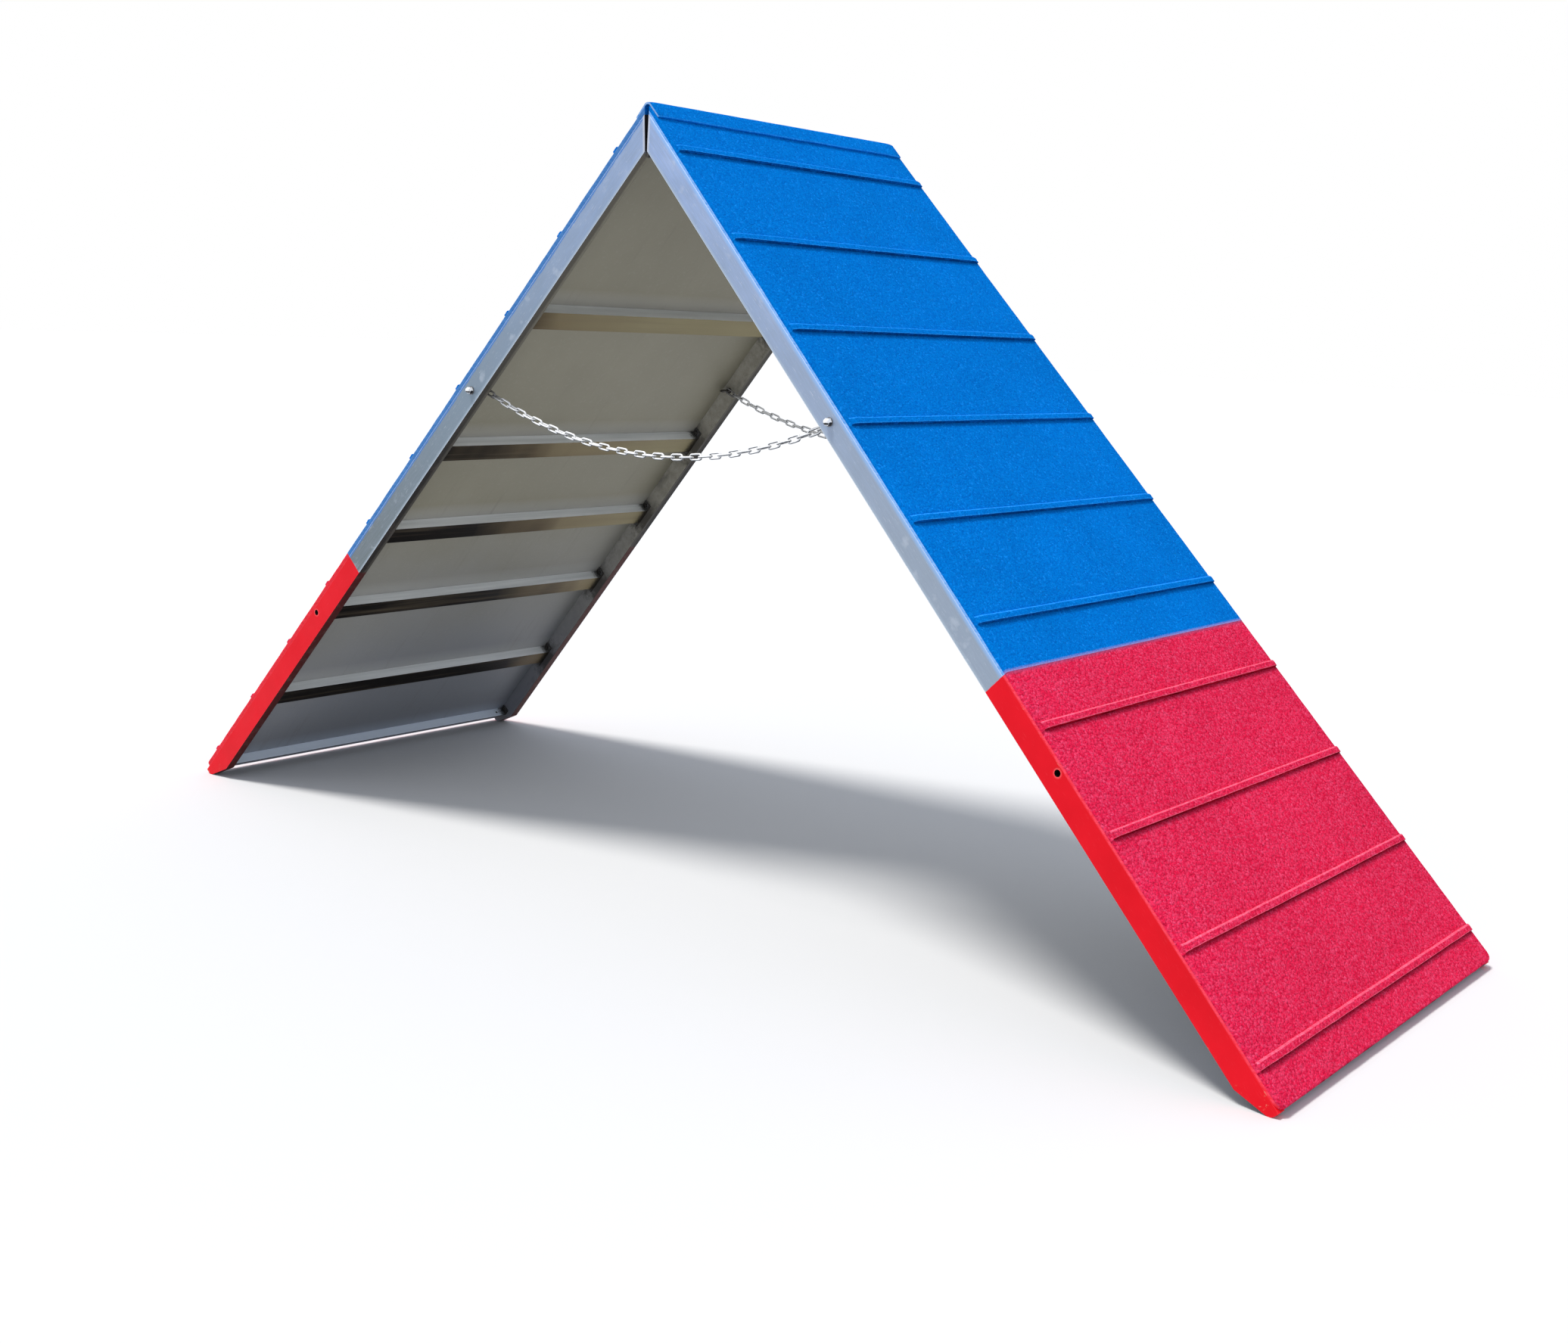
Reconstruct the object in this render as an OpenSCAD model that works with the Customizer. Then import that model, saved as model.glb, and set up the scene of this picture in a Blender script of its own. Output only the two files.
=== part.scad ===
// Agility A-frame: two ramps hinged at the ridge and stayed by a chain on each side.
// Millimetres. The origin is on the ground under the ridge, +X along the run, +Z up.

/* [Ramp] */
// Length of a ramp along its running surface, from the hinge pin to the foot
ramp_len = 2616; // [2400:1:2900]
// Width over the rails at the hinge pin
top_w = 907; // [800:1:1000]
// Width over the rails at the foot
foot_w = 1139; // [1050:1:1200]
// Half of the angle between the ramps as it stands
stand_angle = 44.5; // [40:0.1:45.5]
// Half of the angle between the ramps at which the ridge faces are parallel
ridge_angle = 46.9; // [46:0.1:48]

/* [Rails] */
// Depth of a side rail
rail_h = 60; // [54:1:80]
// Width of a side rail
rail_w = 25; // [20:1:40]
// Wall of the side rail tube
rail_wall = 2.5; // [2:0.1:4]
// Radius of the rounded nose that a rail stands on
nose_r = 21; // [14:0.5:24]
// Distance from the foot to where the underside of a rail begins to rise
heel_back = 86; // [70:1:90]
// Angle at which the underside of a rail rises towards its nose
heel_angle = 23; // [18:0.5:26]

/* [Deck] */
// Thickness of the deck panel between the rails
panel_t = 8; // [5:0.5:12]
// Thickness of the rubber running surface
rubber_t = 14; // [8:0.5:18]
// Length of the contact zone, from the foot up
contact_len = 1055; // [950:1:1120]
// Radius of the rubber's corners at the foot
corner_r = 15; // [5:1:25]
// Distance from the foot to the end of the panel
panel_back = 4; // [2:1:20]

/* [Slats] */
// Number of slats on a ramp
slat_n = 10; // [8:1:10]
// Distance from the hinge pin to the lower edge of the first slat
first_slat = 74; // [60:1:90]
// Distance from slat to slat
slat_pitch = 272.8; // [230:0.1:275]
// Width of a slat along the slope
slat_w = 20; // [14:1:25]
// Height of a slat above the rubber
slat_h = 8; // [5:0.5:10]
// Radius of the long upper edges of a slat
slat_r = 3; // [1:0.5:4]
// Distance from the end of a slat to the edge of the rubber
slat_inset = 2; // [1:1:20]

/* [Ridge flap] */
// Thickness of the rubber flap over the ridge
flap_t = 6; // [4:0.5:8]
// Width of the flap on each side of the ridge
flap_leg = 50; // [40:1:60]
// Inner radius of the flap at the ridge
flap_r = 10; // [8:0.5:11]
// Distance from the end of the flap to the edge of the rubber
flap_inset = 2; // [0:1:10]

/* [Crossmembers] */
// Middle of the first crossmember, from the hinge pin
member_1 = 578; // [450:1:650]
// Middle of the second crossmember
member_2 = 1085; // [1030:1:1150]
// Middle of the third crossmember
member_3 = 1433; // [1350:1:1500]
// Middle of the fourth crossmember
member_4 = 1779; // [1730:1:1790]
// Middle of the fifth crossmember
member_5 = 2199; // [2000:1:2270]
// Width of a crossmember tube along the slope
member_w = 60; // [50:1:70]
// Depth of a crossmember tube
member_h = 30; // [25:1:40]
// Wall of a crossmember tube
member_wall = 2.5; // [2:0.1:4]
// Thickness of the plate welded to each end of a crossmember
end_plate_t = 4; // [3:0.5:6]
// Length of an end plate's ear past the tube
ear = 20; // [18:1:26]

/* [Edge profiles] */
// Depth of the foot angle below the panel
angle_h = 31; // [25:1:38]
// Width of the foot angle's leg under the panel
angle_w = 30; // [22:1:40]
// Thickness of the foot angle
angle_t = 3; // [2:0.5:4]
// Distance from the foot to the foot angle's upright leg
angle_back = 70; // [64:1:80]
// Thickness of the plate that closes the rails at the ridge
ridge_plate_t = 5; // [4:0.5:8]

/* [Hinges] */
// Depth of the hinge pin below the rails
pin_drop = 8; // [7.5:0.5:12]
// Length of a hinge
hinge_len = 80; // [60:1:120]
// Distance from the hinge's outer end to the outside of the rail
hinge_inset = 6; // [4:1:30]
// Height of a hinge leaf above the pin
leaf_h = 38; // [34:1:42]
// Thickness of a hinge leaf
leaf_t = 3; // [3:0.5:4]
// Outer radius of a hinge knuckle
knuckle_r = 6; // [5.5:0.1:6.5]
// Radius of the hinge pin
pin_r = 4; // [3:0.1:4.3]

/* [Chain] */
// Distance of the chain's eye bolts from the hinge pin
chain_at = 845; // [780:1:950]
// Wire of a chain link
link_d = 5; // [4:0.1:5.2]
// Inner length of a chain link
link_pitch = 32.5; // [30:0.5:36]
// Inner width of a chain link
link_b = 8; // [7.8:0.1:9]
// Length of the chain over the straight distance between its ends
chain_slack = 1.024; // [1.015:0.001:1.08]
// Radius of an eye, to the middle of its wire
eye_r = 12; // [11:0.5:14]
// Radius of the eye's wire
eye_wire_r = 3.5; // [3:0.1:3.6]
// Radius of the eye bolt's shank
eye_shank_r = 5; // [3:0.1:5]

/* [Transport bush] */
// Distance of the transport bush from the hinge pin
bush_at = 1800; // [1790:1:1803]
// Distance of the bush's middle below the top of the rail
bush_depth = 14; // [14:0.5:20]
// Radius of the bush's bore
bush_bore_r = 8; // [6:0.5:8.5]
// Wall of the bush
bush_wall = 3; // [2:0.5:3.5]

/* [Fasteners] */
// Radius of a frame screw
screw_r = 4; // [3:0.1:4.2]
// Radius of a hinge screw
leaf_screw_r = 2.5; // [2:0.1:2.5]

/* [Hidden] */
$fn = 48;

// Clearances: around a screw, round the hinge pin, between links, under the loose and the glued half
// of the flap, beside the panel and between hinge leaves
fit = 0.1;
running = 0.05;
play = 0.3;
flap_clear = 0.5;
flap_glue = 0.2;
deck_gap = 0.5;
leaf_clear = 0.2;
knuckle_gap = 0.6;
// How far an end plate stays inside the profile that it is welded to
plate_in = 1;
// How far a cutting shape runs past what it cuts
beyond = 150;

// The left ramp is the right one mirrored, and a far rail is the near one mirrored
LEFT = -1;
RIGHT = 1;
NEAR = -1;
FAR = 1;

// Heights in a ramp's own frame: the hinge pin is its origin, x runs down the slope, z is square to it
rail_lo = pin_drop;
rail_hi = rail_lo + rail_h;
rail_mid = rail_lo + rail_h / 2;
panel_lo = rail_hi - panel_t;
rubber_hi = rail_hi + rubber_t;
member_lo = panel_lo - member_h;
screw_z = panel_lo - min(member_h, angle_h) / 2;
contact_x = ramp_len - contact_len;
angle_x = ramp_len - angle_back;
members = [member_1, member_2, member_3, member_4, member_5];

// The middle of a rail's nose
nose_x = ramp_len - nose_r;
nose_rise = (heel_back - nose_r * (1 - sin(heel_angle))) * tan(heel_angle);
nose_z = rail_lo + nose_rise + nose_r * cos(heel_angle);

// Height of the hinge pin, and of the line where the two running surfaces would meet
pin_z = nose_x * cos(stand_angle) - nose_z * sin(stand_angle) + nose_r;
ridge_z = pin_z + rubber_hi / sin(stand_angle);
ridge_x = -rubber_hi / tan(stand_angle);
tilt = 90 - stand_angle;

// The rails splay from the ridge to the foot
splay = atan((foot_w - top_w) / 2 / ramp_len);
rail_inset = rail_w / cos(splay);
function half_w(x) = top_w / 2 + x * tan(splay);
function along_rail(x, depth) = (x - depth * sin(splay)) / cos(splay);

// The ridge gap opens upwards: faces are counted from the pin, square to the ridge face
gap_tilt = ridge_angle - stand_angle;
ridge_face = leaf_clear + leaf_t;
ridge_back = ridge_face + ridge_plate_t;
function face_x(face, z) = (face - z * cos(ridge_angle)) / sin(ridge_angle);

// Hinges
hinge_mid = top_w / 2 - hinge_inset - hinge_len / 2;
knuckle_len = hinge_len / 3;
leaf_screw_n = 3;
leaf_screw_step = hinge_len * 0.35;
leaf_head_r = 2 * leaf_screw_r;
leaf_screw_up = leaf_h - 2.4 * leaf_head_r;
leaf_screw_end = 4;
leaf_screw_len = leaf_t + ridge_plate_t + leaf_screw_end;
pin_head_r = pin_r + 1.5;
pin_head_h = 2;

// Frame screws sit in the ears of the end plates
head_h = 1.3 * screw_r;
head_r = 1.88 * screw_r;
washer_r = 2 * screw_r;
washer_t = 1.6;
screw_reach = 8;
screw_off = member_w / 2 + ear / 2;
frame_screws = concat([for (m = members, s = [-1, 1]) m + s * screw_off], [angle_x - ear / 2]);

// Eye bolts, each with a collar inside the rail and a dome nut outside it
collar_h = 3;
collar_r = eye_shank_r + 3;
eye_out = rail_w + collar_h + eye_r + eye_wire_r;
nut_h = 1.6 * eye_shank_r;
nut_r = 1.88 * eye_shank_r;
dome_r = 1.55 * eye_shank_r;
nut_washer_r = 2.1 * eye_shank_r;
eye_slope_x = chain_at + eye_out * sin(splay);
eye_x = eye_slope_x * sin(stand_angle) + rail_mid * cos(stand_angle);
eye_z = pin_z - eye_slope_x * cos(stand_angle) + rail_mid * sin(stand_angle);
eye_y = half_w(chain_at) - eye_out * cos(splay);

// Each chain hangs in a catenary between the wires of its two eyes
link_r = (link_b + link_d) / 2;
link_straight = link_pitch - link_b;
link_step = link_pitch - play;
link_end = link_pitch / 2 + link_d / 2;
hook = eye_wire_r + link_d / 2 + play;
wire_x = eye_x - eye_r;
links_a_side = round((chain_slack * wire_x - link_end) / link_step);
chain_half = links_a_side * link_step + link_end;
function asinh(v) = ln(v + sqrt(v * v + 1));
function catenary(span, lo, hi, steps) = let (mid = (lo + hi) / 2)
  steps == 0 ? mid
  : mid * asinh(chain_half / mid) > span ? catenary(span, lo, mid, steps - 1)
  : catenary(span, mid, hi, steps - 1);
catenary_steps = 50;
catenary_lo = wire_x / 10;
catenary_hi = wire_x * 20;
first_a = catenary(wire_x + hook, catenary_lo, catenary_hi, catenary_steps);
end_angle = atan(chain_half / first_a);
chain_a = catenary(wire_x + hook * cos(end_angle), catenary_lo, catenary_hi, catenary_steps);
chain_end_z = eye_z + hook * sin(end_angle);
function chain_x(s) = chain_a * asinh(s / chain_a);
function chain_z(s) = chain_end_z + sqrt(chain_a ^ 2 + s ^ 2) - sqrt(chain_a ^ 2 + chain_half ^ 2);

// Transport bush
bush_r = bush_bore_r + bush_wall;
bush_z = rail_hi - bush_depth;

// Lashing holes near the ends of the foot angle
lash_r = 4;
lash_in = 60;

// Colours
SILVER = "#b9c0c8";
PANEL = "#73706a";
BLUE = "#0a74d8";
RED = "#d92c58";
ZINC = "#d5d9dc";
STEEL = "#8d9296";

function arc(x, z, r, from, to, n) = [for (i = [0:n]) let (a = from + (to - from) * i / n)
  [x + r * cos(a), z + r * sin(a)]];

// A ramp's own frame, stood up
module on_ramp(side) {
  mirror([side == LEFT ? 1 : 0, 0, 0]) translate([0, 0, pin_z]) rotate([0, tilt, 0]) children();
}

// The frame of a ramp's ridge face: x points into the ramp, z up the face
module on_ridge(side) {
  mirror([side == LEFT ? 1 : 0, 0, 0]) translate([0, 0, pin_z]) rotate([0, gap_tilt, 0]) children();
}

// A rail's frame in the ramp: y runs inwards from the rail's outer face
module on_rail(edge) {
  mirror([0, edge == FAR ? 1 : 0, 0]) translate([0, -top_w / 2, 0]) rotate([0, 0, -splay]) children();
}

// A rod along y, from y0 to y1
module rod(r, y0, y1) {
  translate([0, y0, 0]) rotate([-90, 0, 0]) cylinder(r = r, h = y1 - y0);
}

// A prism across the ramp, drawn in its x and z
module across(w) {
  rotate([90, 0, 0]) linear_extrude(w, center = true) children();
}

// A slab as wide as the ramp less an inset
module slab(x0, x1, z0, z1, inset) {
  translate([0, 0, z0]) linear_extrude(z1 - z0)
    polygon([[x0, inset - half_w(x0)], [x1, inset - half_w(x1)],
             [x1, half_w(x1) - inset], [x0, half_w(x0) - inset]]);
}

// A side outline from a ridge face to a square end
module side_outline(face, end, z0, z1) {
  polygon([[face_x(face, z0), z0], [end, z0], [end, z1], [face_x(face, z1), z1]]);
}

// The side outline of a rail, or of its cavity inside a wall, with a rounded nose at the foot
module rail_outline(face, wall) {
  r = nose_r - wall;
  touch_x = nose_x + r * sin(heel_angle);
  touch_z = nose_z - r * cos(heel_angle);
  heel_x = touch_x - (touch_z - rail_lo) / tan(heel_angle);
  polygon(concat([[face_x(face, rail_lo), rail_lo], [heel_x, rail_lo]],
                 arc(nose_x, nose_z, r, heel_angle - 90, 0, 10),
                 [[ramp_len - wall, rail_hi], [face_x(face, rail_hi), rail_hi]]));
}

// A side rail: a tube mitred at the ridge and closed by a rounded nose at the foot
module rail(side, edge) {
  color(SILVER) on_ramp(side) difference() {
    intersection() {
      on_rail(edge) translate([-beyond, 0, rail_lo - beyond])
        cube([ramp_len + 2 * beyond, rail_w, rail_h + 2 * beyond]);
      across(2 * foot_w) rail_outline(ridge_back, 0);
    }
    intersection() {
      on_rail(edge) translate([-beyond, rail_wall, rail_lo + rail_wall])
        cube([ramp_len + 2 * beyond, rail_w - 2 * rail_wall, rail_h - 2 * rail_wall]);
      across(2 * foot_w) rail_outline(ridge_back - beyond, rail_wall);
    }
    on_rail(edge) {
      translate([along_rail(chain_at, 0), 0, rail_mid]) rod(eye_shank_r + fit, -beyond, beyond);
      translate([along_rail(bush_at, 0), 0, bush_z]) rod(bush_r + fit, -beyond, beyond);
      for (x = frame_screws)
        translate([along_rail(x, rail_w), 0, screw_z]) rod(screw_r + fit, rail_w / 2, rail_w + beyond);
    }
  }
}

// The deck panel, between the rails and flush with their tops
module deck_panel(side) {
  color(PANEL) on_ramp(side) intersection() {
    slab(-beyond, ramp_len + beyond, panel_lo - beyond, rail_hi + beyond, rail_inset + deck_gap);
    across(2 * foot_w) side_outline(ridge_back, ramp_len - panel_back, panel_lo, rail_hi);
  }
}

// The blue running surface, mitred at the ridge
module blue_surface(side) {
  color(BLUE) on_ramp(side) intersection() {
    slab(-beyond, contact_x, rail_hi - beyond, rubber_hi + beyond, 0);
    across(2 * foot_w) side_outline(ridge_face, ramp_len, rail_hi, rubber_hi);
  }
}

// The red running surface, with rounded corners at the foot
module red_surface(side) {
  corner_x = ramp_len - corner_r;
  corner_y = half_w(corner_x) - corner_r / cos(splay);
  color(RED) on_ramp(side) translate([0, 0, rail_hi]) linear_extrude(rubber_t)
    polygon(concat([[contact_x, -half_w(contact_x)]],
                   arc(corner_x, -corner_y, corner_r, -90 - splay, 0, 8),
                   arc(corner_x, corner_y, corner_r, 0, 90 + splay, 8),
                   [[contact_x, half_w(contact_x)]]));
}

// One slat, by the place of its lower edge
module slat(x) {
  translate([x - slat_w, 0, rubber_hi]) across(2 * (half_w(x - slat_w) - slat_inset))
    polygon(concat([[0, 0], [slat_w, 0]], arc(slat_w - slat_r, slat_h - slat_r, slat_r, 0, 90, 6),
                   arc(slat_r, slat_h - slat_r, slat_r, 90, 180, 6)));
}

module slats(side, in_contact, paint) {
  color(paint) on_ramp(side) for (i = [0:slat_n - 1]) {
    x = first_slat + i * slat_pitch;
    if ((x > contact_x) == in_contact) slat(x);
  }
}

// A crossmember: a flat tube with a plate welded to each end
module crossmember(side, middle) {
  x0 = middle - member_w / 2;
  x1 = middle + member_w / 2;
  color(SILVER) on_ramp(side) difference() {
    union() {
      slab(x0, x1, member_lo, panel_lo, rail_inset + end_plate_t / 2);
      for (edge = [NEAR, FAR]) on_rail(edge)
        translate([along_rail(x0, rail_w) - ear, rail_w, member_lo + plate_in])
          cube([member_w + 2 * ear, end_plate_t, member_h - 2 * plate_in]);
    }
    slab(x0 + member_wall, x1 - member_wall, member_lo + member_wall, panel_lo - member_wall,
         rail_inset / 2);
    for (edge = [NEAR, FAR], s = [-1, 1]) on_rail(edge)
      translate([along_rail(middle + s * screw_off, rail_w), 0, screw_z]) rod(screw_r + fit, 0, beyond);
  }
}

// The angle under the lower end of the panel, with a plate at each end
module foot_angle(side) {
  color(SILVER) on_ramp(side) difference() {
    union() {
      slab(angle_x, angle_x + angle_t, panel_lo - angle_h, panel_lo, rail_inset + end_plate_t / 2);
      slab(angle_x, angle_x + angle_w, panel_lo - angle_t, panel_lo, rail_inset + end_plate_t / 2);
      for (edge = [NEAR, FAR]) on_rail(edge)
        translate([along_rail(angle_x, rail_w) - ear, rail_w, panel_lo - angle_h + plate_in])
          cube([ear + angle_t / 2, end_plate_t, angle_h - 2 * plate_in]);
    }
    for (edge = [NEAR, FAR]) {
      on_rail(edge) translate([along_rail(angle_x - ear / 2, rail_w), 0, screw_z])
        rod(screw_r + fit, 0, beyond);
      translate([angle_x - beyond, edge * (half_w(angle_x) - lash_in), panel_lo - angle_h / 2])
        rotate([0, 90, 0]) cylinder(r = lash_r, h = 2 * beyond);
    }
  }
}

// The plate that closes both rails at the ridge and carries the hinges
module ridge_plate(side) {
  color(SILVER) difference() {
    on_ramp(side) intersection() {
      slab(-beyond, beyond, rail_lo - beyond, rail_hi + beyond, 0);
      across(2 * foot_w)
        polygon([[face_x(ridge_face, rail_lo), rail_lo], [face_x(ridge_back, rail_lo), rail_lo],
                 [face_x(ridge_back, rail_hi), rail_hi], [face_x(ridge_face, rail_hi), rail_hi]]);
    }
    leaf_screw_places(side, [NEAR, FAR]) cylinder(r = leaf_screw_r + fit, h = beyond);
  }
}

// The places of the hinge screws: z points from the leaf's face into the ridge plate
module leaf_screw_places(side, edges) {
  on_ridge(side) for (edge = edges, i = [0:leaf_screw_n - 1])
    translate([leaf_clear, edge * hinge_mid + (i - (leaf_screw_n - 1) / 2) * leaf_screw_step,
               leaf_screw_up]) rotate([0, 90, 0]) children();
}

// A hinge leaf: the left one has the outer knuckles, the right one the middle knuckle
module hinge_leaf(side, edge) {
  own = side == LEFT ? [-1, 1] : [0];
  other = side == LEFT ? [0] : [-1, 1];
  knuckle = knuckle_len - knuckle_gap;
  room = knuckle_len + 2 * knuckle_gap;
  color(STEEL) difference() {
    on_ridge(side) translate([0, edge * hinge_mid, 0]) difference() {
      union() {
        translate([leaf_clear, -hinge_len / 2, 0]) cube([leaf_t, hinge_len, leaf_h]);
        for (k = own) rod(knuckle_r, k * knuckle_len - knuckle / 2, k * knuckle_len + knuckle / 2);
      }
      for (k = other) rod(knuckle_r + play, k * knuckle_len - room / 2, k * knuckle_len + room / 2);
      rod(pin_r + running, -hinge_len, hinge_len);
    }
    leaf_screw_places(side, [edge]) {
      cylinder(r1 = leaf_head_r + fit, r2 = leaf_screw_r + fit, h = leaf_screw_r);
      cylinder(r = leaf_screw_r + fit, h = beyond);
    }
  }
}

module hinge_screws(side) {
  color(ZINC) leaf_screw_places(side, [NEAR, FAR]) {
    cylinder(r1 = leaf_head_r, r2 = leaf_screw_r, h = leaf_screw_r);
    cylinder(r = leaf_screw_r, h = leaf_screw_len);
  }
}

// A hinge pin, headed at both ends
module hinge_pin(edge) {
  end = hinge_len / 2 + play;
  color(ZINC) translate([0, edge * hinge_mid, pin_z]) {
    rod(pin_r, -end, end);
    rod(pin_head_r, end, end + pin_head_h);
    rod(pin_head_r, -end - pin_head_h, -end);
  }
}

// The places of the frame screws: y points inwards from the end plate's face
module frame_screw_places(side) {
  on_ramp(side) for (edge = [NEAR, FAR], x = frame_screws)
    on_rail(edge) translate([along_rail(x, rail_w), rail_w + end_plate_t, screw_z]) children();
}

module frame_screws(side) {
  color(STEEL) frame_screw_places(side) {
    rod(screw_r, -end_plate_t - screw_reach, washer_t);
    translate([0, washer_t, 0]) rotate([-90, 0, 0]) cylinder(r = head_r, h = head_h, $fn = 6);
  }
}

module frame_washers(side) {
  color(ZINC) frame_screw_places(side) difference() {
    rod(washer_r, 0, washer_t);
    rod(screw_r + fit, -washer_t, 2 * washer_t);
  }
}

// The places of the eye bolts: y points inwards from the rail's outer face, z straight up
module eye_places(side) {
  on_ramp(side) for (edge = [NEAR, FAR])
    on_rail(edge) translate([along_rail(chain_at, 0), 0, rail_mid]) rotate([0, -tilt, 0]) children();
}

module eye_bolts(side) {
  color(ZINC) eye_places(side) {
    rod(eye_shank_r, -washer_t - nut_h, eye_out - eye_r);
    rod(collar_r, rail_w, rail_w + collar_h);
    translate([0, eye_out, 0]) rotate_extrude() translate([eye_r, 0]) circle(eye_wire_r);
  }
}

module dome_nuts(side) {
  color(ZINC) eye_places(side) translate([0, -washer_t, 0]) difference() {
    union() {
      rotate([90, 0, 0]) cylinder(r = nut_r, h = nut_h, $fn = 6);
      translate([0, -nut_h, 0]) sphere(dome_r);
    }
    rod(eye_shank_r + fit, -nut_h - fit, beyond);
    rod(nut_r, 0, beyond);
  }
}

module nut_washers(side) {
  color(ZINC) eye_places(side) difference() {
    rod(nut_washer_r, -washer_t, 0);
    rod(eye_shank_r + fit, -2 * washer_t, washer_t);
  }
}

// Bushes that take the stub axle of a transport wheel
module transport_bushes(side) {
  color(STEEL) on_ramp(side) for (edge = [NEAR, FAR])
    on_rail(edge) translate([along_rail(bush_at, 0), 0, bush_z]) difference() {
      rod(bush_r, 0, rail_w);
      rod(bush_bore_r, -rail_w, 2 * rail_w);
    }
}

// One chain link, upright and lying along x
module link() {
  for (s = [-1, 1]) {
    translate([-link_straight / 2, 0, s * link_r]) rotate([0, 90, 0])
      cylinder(d = link_d, h = link_straight);
    translate([s * link_straight / 2, 0, 0]) rotate([90, 0, 0]) rotate([0, 0, -s * 90])
      rotate_extrude(angle = 180) translate([link_r, 0]) circle(d = link_d);
  }
}

module chain(edge) {
  color(ZINC) for (i = [-links_a_side:links_a_side]) {
    s = i * link_step;
    turn = (links_a_side - abs(i)) % 2 == 0 ? 0 : 90;
    translate([chain_x(s), edge * eye_y, chain_z(s)]) rotate([0, -atan(s / chain_a), 0])
      rotate([turn, 0, 0]) link();
  }
}

// The rubber flap over the ridge gap: its left half is fixed, its right half lies loose
module ridge_flap() {
  right_u = [sin(stand_angle), -cos(stand_angle)];
  right_n = [cos(stand_angle), sin(stand_angle)];
  left_u = [-right_u[0], right_u[1]];
  left_n = [-right_n[0], right_n[1]];
  peak = [(flap_clear - flap_glue) / 2 / cos(stand_angle),
          ridge_z + (flap_clear + flap_glue) / 2 / sin(stand_angle)];
  centre = peak - [0, flap_r / sin(stand_angle)];
  color(BLUE) across(2 * (half_w(ridge_x) - flap_inset))
    polygon(concat([peak + right_u * flap_leg, peak + right_u * flap_leg + right_n * flap_t],
                   arc(centre[0], centre[1], flap_r + flap_t, stand_angle, 180 - stand_angle, 12),
                   [peak + left_u * flap_leg + left_n * flap_t, peak + left_u * flap_leg],
                   arc(centre[0], centre[1], flap_r, 180 - stand_angle, stand_angle, 12)));
}

rail(LEFT, NEAR);  // left_near_rail
rail(LEFT, FAR);  // left_far_rail
deck_panel(LEFT);  // left_deck_panel
blue_surface(LEFT);  // left_blue_surface
red_surface(LEFT);  // left_red_surface
slats(LEFT, false, BLUE);  // left_blue_slats
slats(LEFT, true, RED);  // left_red_slats
crossmember(LEFT, member_1);  // left_crossmember_1
crossmember(LEFT, member_2);  // left_crossmember_2
crossmember(LEFT, member_3);  // left_crossmember_3
crossmember(LEFT, member_4);  // left_crossmember_4
crossmember(LEFT, member_5);  // left_crossmember_5
foot_angle(LEFT);  // left_foot_angle
ridge_plate(LEFT);  // left_ridge_plate
frame_screws(LEFT);  // left_frame_screws
frame_washers(LEFT);  // left_frame_washers
eye_bolts(LEFT);  // left_eye_bolts
dome_nuts(LEFT);  // left_dome_nuts
nut_washers(LEFT);  // left_nut_washers
transport_bushes(LEFT);  // left_transport_bushes
hinge_leaf(LEFT, NEAR);  // left_near_hinge_leaf
hinge_leaf(LEFT, FAR);  // left_far_hinge_leaf
hinge_screws(LEFT);  // left_hinge_screws
rail(RIGHT, NEAR);  // right_near_rail
rail(RIGHT, FAR);  // right_far_rail
deck_panel(RIGHT);  // right_deck_panel
blue_surface(RIGHT);  // right_blue_surface
red_surface(RIGHT);  // right_red_surface
slats(RIGHT, false, BLUE);  // right_blue_slats
slats(RIGHT, true, RED);  // right_red_slats
crossmember(RIGHT, member_1);  // right_crossmember_1
crossmember(RIGHT, member_2);  // right_crossmember_2
crossmember(RIGHT, member_3);  // right_crossmember_3
crossmember(RIGHT, member_4);  // right_crossmember_4
crossmember(RIGHT, member_5);  // right_crossmember_5
foot_angle(RIGHT);  // right_foot_angle
ridge_plate(RIGHT);  // right_ridge_plate
frame_screws(RIGHT);  // right_frame_screws
frame_washers(RIGHT);  // right_frame_washers
eye_bolts(RIGHT);  // right_eye_bolts
dome_nuts(RIGHT);  // right_dome_nuts
nut_washers(RIGHT);  // right_nut_washers
transport_bushes(RIGHT);  // right_transport_bushes
hinge_leaf(RIGHT, NEAR);  // right_near_hinge_leaf
hinge_leaf(RIGHT, FAR);  // right_far_hinge_leaf
hinge_screws(RIGHT);  // right_hinge_screws
hinge_pin(NEAR);  // near_hinge_pin
hinge_pin(FAR);  // far_hinge_pin
chain(NEAR);  // near_chain
chain(FAR);  // far_chain
ridge_flap();
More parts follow.
